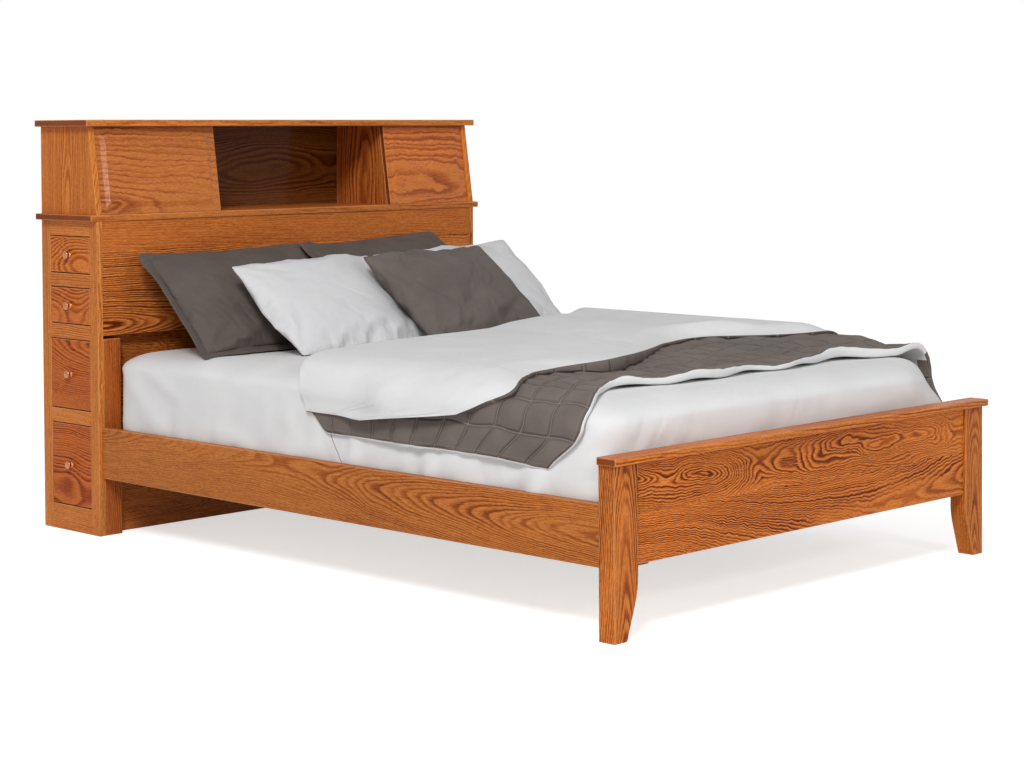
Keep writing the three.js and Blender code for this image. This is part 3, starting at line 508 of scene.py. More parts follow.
def dress_oak():
    dress_headboard()
    for odd, (side, outer) in enumerate(zip(SIDES, (-0.8, 0.8))):
        dress_side(side, outer, odd)
    upper_board = lying(27.5, level=-1.183, path=FOOT_UPPER_PATH, ring=0.0048, wave=0.03, swirl=0.045,
                        ripple=0.012, contrast=1.35, tint=(1.06, 0.97, 0.72))
    lower_board = lying(28.5, level=-1.183, path=FOOT_LOWER_PATH, ring=0.0046, wave=0.03, swirl=0.014,
                        ripple=0.014, contrast=1.35, tint=(1.06, 0.97, 0.72))
    dress(oak_material("oak_foot_panel", upper_board, lower_board, below_joint), "footboard_panel")
    cap = dict(along="x", across="y", seed=28.1, level=0.448, heart=-1.1, tint=(1.0, 0.92, 0.7))
    dress(oak_material("oak_foot_cap", cap), "footboard_cap")


def dress_inner_wood():
    plain = lying(41.0, boards=0.14, contrast=0.3, light=colour(222, 190, 140), middle=colour(205, 168, 116),
                  dark=colour(160, 118, 70))
    inner = oak_material("inner_wood", plain, coat=0.0)
    dress(inner, "slat_base", "slat_cleat_left", "slat_cleat_right", "centre_leg_foot", "centre_leg_head")
    # The carcases are darkened: a dark stain, and painted shade for the gaps between the drawer fronts
    stained = lying(43.0, boards=0.14, contrast=0.3, tint=(0.36, 0.24, 0.2))
    dress(oak_material("carcase_wood_stain_and_painted_shade", stained, coat=0.0), *(f"drawer_carcase_{side}" for side in SIDES))
    for side in SIDES:
        for n in NUMBERS:
            dress(inner, f"drawer_box_{side}_{n}")


# Cloth
def weave_group():
    """Plain weave of threads that cross, on a map in metres: a height, and slubs that vary the shade."""
    tree, g, given, out = shader_group(
        "plain_weave", [("Map", "vector"), ("Thread", "value")], [("Height", "value"), ("Slub", "value")],
    )
    turns = g.node("ShaderNodeVectorMath", {0: given["Map"]}, operation="SCALE")
    g.feed(turns.inputs["Scale"], g.math("DIVIDE", math.pi, given["Thread"]))
    across, along, _ = g.split(turns.outputs[0])
    crossing = g.math("MULTIPLY", g.math("SINE", across), g.math("SINE", along))
    g.feed(out["Height"], g.math("ADD", g.math("MULTIPLY", crossing, 0.5), 0.5))
    warp = g.noise(g.vector_math("MULTIPLY", given["Map"], (900, 40, 1)), detail=2)["Fac"]
    weft = g.noise(g.vector_math("MULTIPLY", given["Map"], (40, 900, 1)), detail=2)["Fac"]
    g.feed(out["Slub"], g.math("ADD", g.math("MULTIPLY", warp, 0.5), g.math("MULTIPLY", weft, 0.5)))
    return tree


QUILT_CELL = (0.08, 0.098)
QUILT_START = 0.125
QUILT_THREAD = colour(152, 142, 135)
PLEAT_SHADE = colour(84, 84, 88)


def crease_group():
    """Fine creases, as valleys that come and go, on a map already scaled to their size."""
    tree, g, given, out = shader_group("soft_creases", [("Map", "vector")], [("Height", "value")])
    winding = g.noise(given["Map"], detail=2, roughness=0.45)["Fac"]
    apart = g.math("ABSOLUTE", g.math("SUBTRACT", winding, 0.5))
    valley = g.range(apart, 0.0, 0.13, -1.0, 0.0)
    patch = g.noise(g.vector_math("ADD", given["Map"], (5.3, 8.1, 2.2)), scale=0.45, detail=1)["Fac"]
    g.feed(out["Height"], g.math("MULTIPLY", valley, g.range(patch, 0.46, 0.6)))
    return tree


def gather_group():
    """Small puckers square to the seams, fading into the middle of a pillow. Seam is the way to each seam."""
    inputs = [("Map", "vector"), ("Seam", "vector")]
    tree, g, given, out = shader_group("seam_gathers", inputs, [("Height", "value")])
    to_seam = g.split(given["Seam"])
    puckers = []
    for distance, stretch in ((to_seam[0], (14, 75, 1)), (to_seam[1], (75, 14, 1))):
        folds = g.noise(g.vector_math("MULTIPLY", given["Map"], stretch), detail=1.5)["Fac"]
        near_seam = g.range(distance, 0.0, 0.075, 1.0, 0.0)
        puckers.append(g.math("MULTIPLY", g.math("SUBTRACT", folds, 0.5), near_seam))
    g.feed(out["Height"], g.math("ADD", *puckers))
    return tree


def painted_pleat_shadow(g, place):
    """A painted shadow line along the pleat in the fitted sheet's left side."""
    x, y, z = g.split(place)
    fall = g.math("SUBTRACT", 0.403, z)
    bend = g.math("MULTIPLY", g.math("MULTIPLY", fall, fall), 4.9)
    curve = g.math("ADD", g.math("MULTIPLY", fall, 0.38), bend)
    apart = g.math("ABSOLUTE", g.math("ADD", g.math("ADD", y, 0.121), curve))
    line = g.range(apart, 0.0008, 0.0026, 0.75, 0.0)
    return g.math("MULTIPLY", line, g.math("LESS_THAN", x, -0.7))


def cotton_material(name, light, dark, thread=0.0007, map_scale=(1, 1), crease=None, turn=0.0, creasing=0.8,
                    quilted=False, gathered=False, pleat_shadow=False):
    """Woven cotton. A coverlet's map is in cells of the quilting, every other map in metres."""
    material, g, shader = new_material(name)
    map_place = g.node("ShaderNodeUVMap", uv_map="cloth").outputs[0]
    metres = g.vector_math("MULTIPLY", map_place, (*map_scale, 1))
    weave = g.node("ShaderNodeGroup", {"Map": metres, "Thread": thread}, node_tree=plain_weave)
    place = g.node("ShaderNodeTexCoord").outputs["Object"]
    clouds = g.noise(place, scale=7, detail=3)["Fac"]
    shade = g.math("ADD", g.math("MULTIPLY", clouds, 0.6), g.math("MULTIPLY", weave.outputs["Slub"], 0.5))
    base = g.mix(g.range(shade, 0.3, 0.8), dark, light)
    height = g.math("MULTIPLY", weave.outputs["Height"], 0.07)
    creases = g.noise(place, scale=26, detail=3)["Fac"]
    height = g.math("ADD", height, g.math("MULTIPLY", creases, 0.5 if quilted else 0.25))
    if quilted:
        base, height = add_stitched_lines(g, map_place, base, height)
    if gathered:
        seam = g.node("ShaderNodeUVMap", uv_map="seam").outputs[0]
        gathers = g.node("ShaderNodeGroup", {"Map": metres, "Seam": seam}, node_tree=seam_gathers).outputs[0]
        height = g.math("ADD", height, g.math("MULTIPLY", gathers, 1.6))
    if crease:
        turned = g.node("ShaderNodeVectorRotate", {"Vector": metres, "Angle": turn}, rotation_type="Z_AXIS")
        stretched = g.vector_math("MULTIPLY", turned.outputs[0], crease)
        folds = g.node("ShaderNodeGroup", {"Map": stretched}, node_tree=soft_creases)
        height = g.math("ADD", height, g.math("MULTIPLY", folds.outputs[0], creasing))
    if pleat_shadow:
        # Painted shadow of the pleat
        base = g.mix(painted_pleat_shadow(g, place), base, PLEAT_SHADE)
    bump = g.node("ShaderNodeBump", {"Height": height, "Strength": 1.0, "Distance": 0.0028})
    g.feed(shader.inputs["Base Color"], base)
    g.feed(shader.inputs["Normal"], bump.outputs[0])
    shader.inputs["Roughness"].default_value = 0.85
    shader.inputs["Sheen Weight"].default_value = 0.03
    shader.inputs["Sheen Roughness"].default_value = 0.4
    shader.inputs["Specular IOR Level"].default_value = 0.15
    return material


def add_stitched_lines(g, cells, base, height):
    """A groove along each line of the quilting, with a run of thread stitches in it. The cloth is painted
    darker towards each line, as shade in the groove.
    """
    x, y, _ = g.split(cells)
    gaps = []
    for part, size in zip((x, y), QUILT_CELL):
        past_line = g.math("SUBTRACT", g.math("FRACT", g.math("ADD", part, 0.5)), 0.5)
        gaps.append(g.math("MULTIPLY", g.math("ABSOLUTE", past_line), size))
    to_line = g.math("MINIMUM", *gaps)
    groove = g.range(to_line, 0.0, 0.009)
    run = g.math("FRACT", g.math("MULTIPLY", g.math("ADD", x, y), 16))
    stitch = g.math("MULTIPLY", g.range(to_line, 0.0008, 0.002, 0.65, 0.0), g.range(run, 0.1, 0.2))
    # Painted shade in the groove
    groove_painted_shade = g.mix(g.range(to_line, 0.0, 0.009, 0.32, 0.0), base, (0, 0, 0, 1))
    return g.mix(stitch, groove_painted_shade, QUILT_THREAD), g.math("ADD", height, g.math("MULTIPLY", groove, 1.5))


plain_weave = weave_group()
soft_creases = crease_group()
seam_gathers = gather_group()


def new_piece(name, points, faces, materials, face_materials=None, cloth_map=None):
    """A smooth mesh piece. cloth_map gives each point its place on the flat cloth."""
    data = bpy.data.meshes.new(name)
    data.from_pydata([tuple(point) for point in points], [], faces)
    for material in materials:
        data.materials.append(material)
    if face_materials is not None:
        data.polygons.foreach_set("material_index", face_materials)
    if cloth_map is not None:
        corners = np.empty(len(data.loops), int)
        data.loops.foreach_get("vertex_index", corners)
        layer = data.uv_layers.new(name="cloth")
        layer.data.foreach_set("uv", np.asarray(cloth_map, float)[corners].ravel())
    data.polygons.foreach_set("use_smooth", [True] * len(data.polygons))
    data.update()
    piece = bpy.data.objects.new(name, data)
    scene.collection.objects.link(piece)
    return piece


def points_of(piece):
    points = np.empty(3 * len(piece.data.vertices))
    piece.data.vertices.foreach_get("co", points)
    return points.reshape(-1, 3)


def set_points(piece, points):
    piece.data.vertices.foreach_set("co", np.asarray(points, float).ravel())
    piece.data.update()


def soft_noise(points, size, seed=0.0):
    """Smooth noise between about -1 and 1 at each point, with bumps of about this size in metres."""
    scale = 1 / np.broadcast_to(np.asarray(size, float), (3,))
    places = np.asarray(points, float) * scale + seed
    return np.array([noise.noise(Vector(place)) for place in places])


def smooth_step(low, high, value):
    share = np.clip((np.asarray(value, float) - low) / (high - low), 0, 1)
    return share * share * (3 - 2 * share)


def add_subdivision(piece, levels=1):
    modifier = piece.modifiers.new("soft", "SUBSURF")
    modifier.levels = levels
    modifier.render_levels = levels


# Mattress in its fitted sheet
MATTRESS_HALF_WIDTH = 0.762
MATTRESS_FOOT = -1.132
MATTRESS_HEAD = 0.9
MATTRESS_BOTTOM = 0.252
MATTRESS_TOP = 0.566
SHOULDER_WIDTH = 0.13
SHOULDER_DROP = 0.055
SHEET_STEP = 0.016
# How far the right foot corner of the mattress has sunk in
SUNK_CORNER = (-0.05, 0.045, -0.02)


def rounded_corner(share, power=3.0):
    """A point on the quarter of a superellipse, from (1, 0) to (0, 1)."""
    angle = share * math.pi / 2
    x, y = math.cos(angle), math.sin(angle)
    size = (x ** power + y ** power) ** (1 / power)
    return x / size, y / size


def mattress_outline():
    """Points round the mattress: each on the flat middle, with the step from there to the edge."""
    half_x = MATTRESS_HALF_WIDTH - SHOULDER_WIDTH
    low_y, high_y = MATTRESS_FOOT + SHOULDER_WIDTH, MATTRESS_HEAD - SHOULDER_WIDTH
    columns = round(2 * half_x / SHEET_STEP)
    rows = round((high_y - low_y) / SHEET_STEP)
    corner_steps = 12
    sides = [
        ((-half_x, low_y), (half_x, low_y), columns, (0, -1), (1, 0)),
        ((half_x, low_y), (half_x, high_y), rows, (1, 0), (0, 1)),
        ((half_x, high_y), (-half_x, high_y), columns, (0, 1), (-1, 0)),
        ((-half_x, high_y), (-half_x, low_y), rows, (-1, 0), (0, -1)),
    ]
    middles, steps = [], []
    for start, end, count, outward, onward in sides:
        for k in range(count):
            share = k / count
            middles.append([a + (b - a) * share for a, b in zip(start, end)])
            steps.append([SHOULDER_WIDTH * a for a in outward])
        for k in range(corner_steps):
            a, b = rounded_corner(k / corner_steps)
            middles.append(end)
            steps.append([SHOULDER_WIDTH * (a * o + b * n) for o, n in zip(outward, onward)])
    return np.array(middles), np.array(steps), columns, rows


def sheet_folds(points):
    """How far the fitted sheet stands out in drag lines at its corners and soft folds down its sides."""
    x, y, z = points.T
    on_side = smooth_step(MATTRESS_TOP - 0.01, MATTRESS_TOP - 0.08, z)
    low = smooth_step(MATTRESS_TOP - 0.02, MATTRESS_BOTTOM + 0.03, z)
    turned = np.column_stack([x * 0.9 + y * 0.9, z * 0.9 - np.abs(y) * 0.35, x - y])
    drags = np.maximum(soft_noise(turned, (0.16, 0.055, 0.3), 3.7), 0)
    down = np.maximum(soft_noise(points, (0.07, 0.07, 0.6), 9.1), 0)
    near_foot = smooth_step(MATTRESS_FOOT + 0.5, MATTRESS_FOOT + 0.05, y)
    tucks = np.maximum(soft_noise(turned, (0.07, 0.5, 0.09), 6.4), 0) * low
    broad = soft_noise(points, 0.3, 5.2)
    at_foot = smooth_step(MATTRESS_FOOT + 0.12, MATTRESS_FOOT + 0.03, y)
    slanted = np.column_stack([x - 1.1 * z, 0.3 * z, y])
    fans = np.maximum(soft_noise(slanted, (0.055, 0.4, 0.5), 2.2), 0) * smooth_step(0.52, 0.4, z)
    fans = fans * smooth_step(-0.1, -0.6, x)
    upright = (0.010 * down * low + 0.012 * tucks) * (1 - 0.9 * at_foot)
    side = on_side * (0.012 * drags + upright + 0.012 * fans * at_foot) + 0.003 * broad
    top = (1 - on_side) * 0.003 * soft_noise(points, (0.22, 0.16, 0.2), 1.3)
    return side + top + near_foot * on_side * 0.008 * down * (1 - 0.9 * at_foot)


def make_mattress():
    middles, steps, columns, rows = mattress_outline()
    count = len(middles)
    rings = []
    side_steps = 15
    for k in range(side_steps + 1):
        share = k / side_steps
        z = MATTRESS_BOTTOM + share * (MATTRESS_TOP - SHOULDER_DROP - MATTRESS_BOTTOM)
        tuck = 0.012 * (1 - smooth_step(0, 0.045, z - MATTRESS_BOTTOM))
        rings.append((1 - tuck / SHOULDER_WIDTH, z))
    shoulder_steps = 11
    for k in range(1, shoulder_steps + 1):
        angle = k / shoulder_steps * math.pi / 2
        rings.append((math.cos(angle), MATTRESS_TOP - SHOULDER_DROP * (1 - math.sin(angle))))
    points = [
        (middles[i][0] + steps[i][0] * reach, middles[i][1] + steps[i][1] * reach, z)
        for reach, z in rings for i in range(count)
    ]
    faces = [
        (r * count + i, r * count + (i + 1) % count, (r + 1) * count + (i + 1) % count, (r + 1) * count + i)
        for r in range(len(rings) - 1) for i in range(count)
    ]
    half_x = MATTRESS_HALF_WIDTH - SHOULDER_WIDTH
    low_y, high_y = MATTRESS_FOOT + SHOULDER_WIDTH, MATTRESS_HEAD - SHOULDER_WIDTH
    for z, flip in ((MATTRESS_TOP, False), (MATTRESS_BOTTOM, True)):
        first = len(points)
        for j in range(rows + 1):
            for i in range(columns + 1):
                points.append((
                    -half_x + 2 * half_x * i / columns, low_y + (high_y - low_y) * j / rows, z,
                ))
        for j in range(rows):
            for i in range(columns):
                a = first + j * (columns + 1) + i
                quad = (a, a + 1, a + columns + 2, a + columns + 1)
                faces.append(quad[::-1] if flip else quad)
    bottom_rim = [
        (middles[i][0] + steps[i][0] * reach, middles[i][1] + steps[i][1] * reach, MATTRESS_BOTTOM)
        for reach in (rings[0][0], 0) for i in range(count)
    ]
    first = len(points)
    points += bottom_rim
    faces += [
        (first + count + i, first + count + (i + 1) % count, first + (i + 1) % count, first + i)
        for i in range(count)
    ]
    piece = new_piece("mattress_in_sheet", points, faces, [sheet_cotton])
    weld(piece)
    places = points_of(piece)
    normals = np.array([v.normal for v in piece.data.vertices])
    resting = smooth_step(MATTRESS_BOTTOM, MATTRESS_BOTTOM + 0.05, places[:, 2])[:, None]
    places = places + normals * (sheet_folds(places)[:, None] - 0.002) * resting
    x, y, z = places.T
    sunk = smooth_step(0.5, MATTRESS_HALF_WIDTH, x) * smooth_step(MATTRESS_FOOT + 0.16, MATTRESS_FOOT, y)
    sunk = sunk * smooth_step(0.41, 0.54, z)
    set_points(piece, places + sunk[:, None] * np.array(SUNK_CORNER))
    map_by_faces(piece)
    return piece


def weld(piece, distance=0.0004):
    mesh = bmesh.new()
    mesh.from_mesh(piece.data)
    bmesh.ops.remove_doubles(mesh, verts=mesh.verts, dist=distance)
    bmesh.ops.recalc_face_normals(mesh, faces=mesh.faces)
    mesh.to_mesh(piece.data)
    mesh.free()
    piece.data.update()


def map_by_faces(piece):
    """A cloth map in metres, laid on each face from the side that it faces most."""
    data = piece.data
    layer = data.uv_layers.get("cloth") or data.uv_layers.new(name="cloth")
    for face in data.polygons:
        x, y, z = (abs(part) for part in face.normal)
        pick = (0, 1) if z >= max(x, y) else ((1, 2) if x > y else (0, 2))
        for corner in face.loop_indices:
            place = data.vertices[data.loops[corner].vertex_index].co
            layer.data[corner].uv = (place[pick[0]], place[pick[1]])


# Coverlet: one quilted sheet, its head part folded back over it with the lining up
HEM_REACH = 0.885
FLAP_HEM_REACH = 0.832
COVER_LIFT = 0.0015
COVER_THICKNESS = 0.011
# Places across the bed, and there the distance from the mattress foot to each edge
FOOT_EDGE = (
    (-0.89, 0.2), (-0.848, 0.13), (-0.8, 0.072), (-0.754, 0.062), (-0.7, 0.08), (-0.62, 0.14), (-0.54, 0.2),
    (-0.488, 0.22), (-0.37, 0.198), (-0.3, 0.176), (-0.14, 0.17), (0.05, 0.2), (0.19, 0.172), (0.3, 0.2),
    (0.42, 0.228), (0.51, 0.22), (0.64, 0.15), (0.72, 0.135), (0.79, 0.135), (0.84, 0.11), (0.89, 0.065),
)
FLAP_EDGE = (
    (-0.84, 0.97), (-0.83, 0.9), (-0.82, 0.76), (-0.806, 0.594), (-0.789, 0.46), (-0.774, 0.355),
    (-0.745, 0.315), (-0.68, 0.365), (-0.542, 0.452), (-0.42, 0.462), (-0.35, 0.39), (-0.27, 0.385),
    (-0.146, 0.444), (0.03, 0.55), (0.2, 0.648), (0.33, 0.69), (0.42, 0.675), (0.5, 0.56), (0.56, 0.485),
    (0.61, 0.445), (0.66, 0.40), (0.74, 0.43), (0.89, 0.46),
)
CREASE = (
    (-0.84, 1.09), (-0.78, 1.12), (-0.6, 1.2), (-0.4, 1.25), (-0.1, 1.28), (0.3, 1.285), (0.5, 1.3),
    (0.7, 1.41), (0.89, 1.46),
)
# Places across the bed, and there how far the cloth swells off the mattress and how thick its edges are
SWELL = ((-0.89, 0), (-0.6, 0), (0, 0.004), (0.3, 0.012), (0.48, 0.024), (0.66, 0.034), (0.76, 0.044),
         (0.83, 0.044), (0.89, 0.042))
CREST = (
    (-0.84, 0.024), (-0.7, 0.027), (-0.6, 0.03), (-0.42, 0.038), (0, 0.04), (0.1, 0.055), (0.22, 0.068),
    (0.36, 0.075), (0.5, 0.074), (0.66, 0.07), (0.8, 0.066), (0.89, 0.056),
)
FOOT_ROLL = (
    (-0.89, 0.009), (-0.74, 0.009), (-0.6, 0.012), (-0.49, 0.016), (-0.43, 0.02), (-0.36, 0.012), (-0.3, 0.019),
    (-0.14, 0.022), (0.02, 0.014), (0.15, 0.01), (0.25, 0.012), (0.34, 0.018), (0.45, 0.026), (0.53, 0.028),
    (0.6, 0.022), (0.7, 0.019), (0.8, 0.011),
)
FLAP_ROLL = (
    (-0.84, 0.015), (-0.7, 0.017), (-0.6, 0.015), (-0.5, 0.015), (-0.42, 0.018), (-0.36, 0.03),
    (-0.27, 0.038), (-0.14, 0.032),
    (0.1, 0.018), (0.25, 0.012), (0.4, 0.008), (0.6, 0.007), (0.68, 0.012), (0.89, 0.011),
)


def smoothed(table, at):
    """Values between listed places, rounded at each place."""
    places, values = np.array(table).T
    return np.mean([np.interp(at + shift, places, values) for shift in np.linspace(-0.03, 0.03, 7)], axis=0)


def shoulder_table():
    angles = np.linspace(0, math.pi / 2, 60)
    x = SHOULDER_WIDTH * np.sin(angles)
    z = SHOULDER_DROP * (np.cos(angles) - 1)
    return x, z, np.concatenate([[0], np.cumsum(np.hypot(np.diff(x), np.diff(z)))])


def across_bed(across):
    """The place on the mattress at a distance across the cloth from its middle, and the way out of it."""
    flat = MATTRESS_HALF_WIDTH - SHOULDER_WIDTH
    arc_x, arc_z, arc = shoulder_table()
    beyond = np.abs(across) - flat
    on_arc = np.clip(beyond, 0, arc[-1])
    down = np.maximum(beyond - arc[-1], 0)
    x = np.minimum(np.abs(across), flat) + np.interp(on_arc, arc, arc_x)
    z = MATTRESS_TOP + np.interp(on_arc, arc, arc_z) - down
    angle = np.interp(on_arc, arc, np.linspace(0, math.pi / 2, len(arc)))
    out_x = SHOULDER_DROP * np.sin(angle)
    out_z = SHOULDER_WIDTH * np.cos(angle)
    size = np.hypot(out_x, out_z)
    sign = np.where(across < 0, -1.0, 1.0)
    return x * sign, z, out_x / size * sign, out_z / size


def foot_drop(y):
    """How far the mattress top has fallen away towards its foot."""
    share = np.clip((MATTRESS_FOOT + SHOULDER_WIDTH - y) / SHOULDER_WIDTH, 0, 0.95)
    return SHOULDER_DROP * (1 - np.sqrt(1 - share * share))


def on_bed(across, from_foot, height):
    """Points at a height over the mattress, square to its surface."""
    x, z, out_x, out_z = across_bed(across)
    y = MATTRESS_FOOT + from_foot
    return np.stack([x + out_x * height, y, z + out_z * height - foot_drop(y)], axis=-1)


def under_layer(across, from_foot):
    """Heights of the lining and of the quilted face where the coverlet lies on the sheet."""
    hang = smooth_step(0.72, 0.82, np.abs(across))
    inward = from_foot - smoothed(FOOT_EDGE, across)
    at_edge = 1 - smooth_step(0, 0.06, inward)
    swell = smoothed(SWELL, across) * np.maximum(smooth_step(0, 0.16, inward), smooth_step(0.66, 0.76, across))
    swell = swell * (1 - 0.6 * smooth_step(0.78, 0.86, across) * smooth_step(0.2, 0.4, from_foot))
    folds = hang * 0.0025 * (1 + np.sin(from_foot * 21))
    gaps = at_edge * (1 - hang) * 0.0035 * (1 + np.sin(across * 27 + 1))
    low = COVER_LIFT + swell + folds + gaps
    thickness = COVER_THICKNESS - 0.007 * pressed_flat(across, from_foot)
    return low, low + thickness + (smoothed(FOOT_ROLL, across) - thickness) * at_edge


def pressed_flat(across, from_foot):
    """1 where the two layers lie close on the side of the mattress, by the fold on the left."""
    return smooth_step(-0.72, -0.81, across) * smooth_step(0.75, 0.95, from_foot)


def quilting(cloth):
    """How far the filling puffs between stitched lines, and each point's place in cells of the quilting."""
    cells = cloth / QUILT_CELL + (QUILT_START, 0)
    flat = np.concatenate([cloth, np.zeros_like(cloth[..., :1])], axis=-1)
    shape = cloth.shape[:2]
    for axis, seed in ((0, 2.0), (1, 8.0)):
        cells[..., axis] += 0.14 * soft_noise(flat.reshape(-1, 3), 0.13, seed).reshape(shape)
    crumple = soft_noise(flat.reshape(-1, 3), 0.035, 4.0).reshape(shape)
    rows = np.abs(np.sin(math.pi * cells))
    return 0.009 * np.sqrt(rows[..., 0] * rows[..., 1]) + 0.003 * crumple, cells


def make_coverlet():
    share = np.linspace(-1, 1, 183)
    reach = np.where(share < 0, FLAP_HEM_REACH, HEM_REACH)
    crease = smoothed(CREASE, share * reach)
    foot = smoothed(FOOT_EDGE, share * HEM_REACH)
    flap_end = smoothed(FLAP_EDGE, share * reach)

    steps = np.linspace(0, 1, 113)[:, None]
    from_foot = foot + (crease - foot) * steps
    narrowing = smooth_step(0.09, 0, crease - from_foot)
    corner = 0.014 * smooth_step(0.4, 0.15, from_foot)
    across = share * (HEM_REACH + corner + (reach - HEM_REACH) * narrowing)
    low, top = under_layer(across, from_foot)

    steps = np.linspace(0, 1, 79)[:, None]
    flap_from_foot = crease + (flap_end - crease) * steps
    flap_across = np.broadcast_to(share * reach, flap_from_foot.shape)
    flap = (flap_across, flap_from_foot, *flap_layer(flap_across, flap_from_foot, flap_end))

    cloth_length = 1.1
    along = [np.linspace(0, cloth_length, 113), np.linspace(cloth_length + 0.06, cloth_length + 0.86, 79)]
    cloth = [np.stack(np.broadcast_arrays(share * HEM_REACH, part[:, None]), axis=-1) for part in along]
    puff, cells = quilting(cloth[0])
    puff = puff * (1 - pressed_flat(across, from_foot))
    outer, lining = on_bed(across, from_foot, top + puff), on_bed(across, from_foot, low)
    flap_puff, flap_cells = quilting(cloth[1])
    flap_puff = flap_puff * (1 - pressed_flat(flap_across, flap_from_foot))
    flap_outer = on_bed(flap_across, flap_from_foot, flap[2] - flap_puff)
    flap_lining = on_bed(flap_across, flap_from_foot, flap[3])
    turn_outer, turn_lining = turn_back(outer[-1], lining[-1], flap_outer[0], flap_lining[0])
    turn_cells = [cells[-1] + (flap_cells[0] - cells[-1]) * k / 10 for k in range(1, 10)]
    cover = close_cloth(
        "quilted_coverlet",
        np.concatenate([outer, turn_outer, flap_outer]),
        np.concatenate([lining, turn_lining, flap_lining]),
        np.concatenate([cells, turn_cells, flap_cells]),
        [quilt_cotton, lining_cotton],
    )
    return cover, sew("coverlet_hem_stitches", hem_line(outer), quilt_thread, closed=False)


def flap_layer(across, from_foot, end):
    """Heights of the quilted face and of the lining where the coverlet lies folded back on itself."""
    flat_part = pressed_flat(across, from_foot)
    under_top = under_layer(across, from_foot)[1] + 0.0045 - 0.003 * flat_part
    from_end = from_foot - end
    near_end = 1 - smooth_step(0, 0.11, from_end)
    roll = smoothed(FLAP_ROLL, across)
    flat = np.stack([across, from_foot, np.zeros_like(across)], axis=-1).reshape(-1, 3)
    broad = 0.005 * soft_noise(flat, 0.25, 6.0) + 0.0025 * soft_noise(flat, 0.1, 11.0)
    hump = 0.016 * np.exp(-((from_foot - 0.7) / 0.09) ** 2) * smooth_step(0.3, 0.6, across)
    at_hem = smooth_step(-0.75, -0.82, across)
    crest = smoothed(CREST, across) + hump + broad.reshape(across.shape)
    crest = np.maximum(crest, under_top + 0.03 * (1 - flat_part))
    crest = crest + (under_top + 0.006 - crest) * flat_part
    lining = crest + (under_top + roll - crest) * near_end
    lining = lining + 0.022 * at_hem * smooth_step(0.16, 0, from_end)
    thickness = 0.013 - 0.008 * flat_part
    thickness = thickness + (roll - thickness) * (1 - smooth_step(0, 0.05, from_end))
    return lining - thickness, lining


def turn_back(outer, lining, flap_outer, flap_lining):
    """Rows round the crease, from the last row of the lower layer to the first row of the flap."""
    start, end = (outer + lining) / 2, (flap_outer + flap_lining) / 2
    half_start, half_end = (outer - lining) / 2, (flap_outer - flap_lining) / 2
    reach = np.linalg.norm(end - start, axis=1) / 2
    half_thick = np.linalg.norm(half_start, axis=1)
    up = (end - start) / np.maximum(np.linalg.norm(end - start, axis=1), 1e-6)[:, None]
    ahead = np.array([0.0, 1.0, 0.0])
    outers, linings = [], []
    for k in range(1, 10):
        angle = math.pi * k / 10
        middle = start + (end - start) * (1 - math.cos(angle)) / 2
        middle = middle + ahead * (reach * math.sin(angle))[:, None]
        thick = half_thick + (np.linalg.norm(half_end, axis=1) - half_thick) * k / 10
        inward = (up * math.cos(angle) - ahead * math.sin(angle)) * thick[:, None]
        outers.append(middle + inward)
        linings.append(middle - inward)
    return np.array(outers), np.array(linings)


BOUND_ROWS = 104
# The share of the foot edge, from the left, that the white lining wraps. Right of it the edge is grey
LINED_SHARE = 0.92


def rim_of(row_count, column_count):
    """Grid places round the cloth, each with how far its rim stands out and whether the lining wraps it."""
    last_row, last_column = row_count - 1, column_count - 1
    rim = [(0, j, 0.35, j < LINED_SHARE * column_count) for j in range(column_count)]
    rim += [(i, last_column, 1.1, False) for i in range(1, row_count)]
    rim += [(last_row, j, 0.35, False) for j in range(column_count - 2, -1, -1)]
    rim += [(i, 0, 1.1, i < BOUND_ROWS) for i in range(last_row - 1, 0, -1)]
    return rim


def hem_line(outer):
    """The line of stitches that runs beside the coverlet's hems and its foot edge."""
    left = [outer[i, 1] for i in range(BOUND_ROWS, 0, -1)]
    foot = [outer[1, j] for j in range(1, outer.shape[1] - 1)]
    right = [outer[i, -2] for i in range(2, BOUND_ROWS)]
    return left + foot + right


def stitch_tree():
    """Stitches of thread set out along the edges of a mesh."""
    tree = bpy.data.node_groups.new("running_stitches", "GeometryNodeTree")
    tree.interface.new_socket("Line", in_out="INPUT", socket_type="NodeSocketGeometry")
    for label in ("Spacing", "Length", "Thickness"):
        tree.interface.new_socket(label, in_out="INPUT", socket_type="NodeSocketFloat")
    tree.interface.new_socket("Thread", in_out="INPUT", socket_type="NodeSocketMaterial")
    tree.interface.new_socket("Stitches", in_out="OUTPUT", socket_type="NodeSocketGeometry")
    g = Graph(tree)
    given = g.node("NodeGroupInput").outputs
    line = g.node("GeometryNodeMeshToCurve", {"Mesh": given["Line"]}).outputs[0]
    points = g.node("GeometryNodeResampleCurve", {"Curve": line, "Length": given["Spacing"]}, mode="LENGTH")
    ahead = g.node("GeometryNodeInputTangent").outputs[0]
    turn = g.node("FunctionNodeAlignRotationToVector", {"Vector": ahead}, axis="X").outputs[0]
    stitch = g.node("GeometryNodeMeshUVSphere", {"Segments": 6, "Rings": 4, "Radius": 0.5}).outputs[0]
    size = g.combine(given["Length"], given["Thickness"], given["Thickness"])
    inputs = {"Points": points.outputs[0], "Instance": stitch, "Rotation": turn, "Scale": size}
    run = g.node("GeometryNodeInstanceOnPoints", inputs)
    plain = g.node("GeometryNodeRealizeInstances", {0: run.outputs[0]}).outputs[0]
    threaded = g.node("GeometryNodeSetMaterial", {"Geometry": plain, "Material": given["Thread"]}).outputs[0]
    g.feed(g.node("NodeGroupOutput").inputs[0], threaded)
    return tree


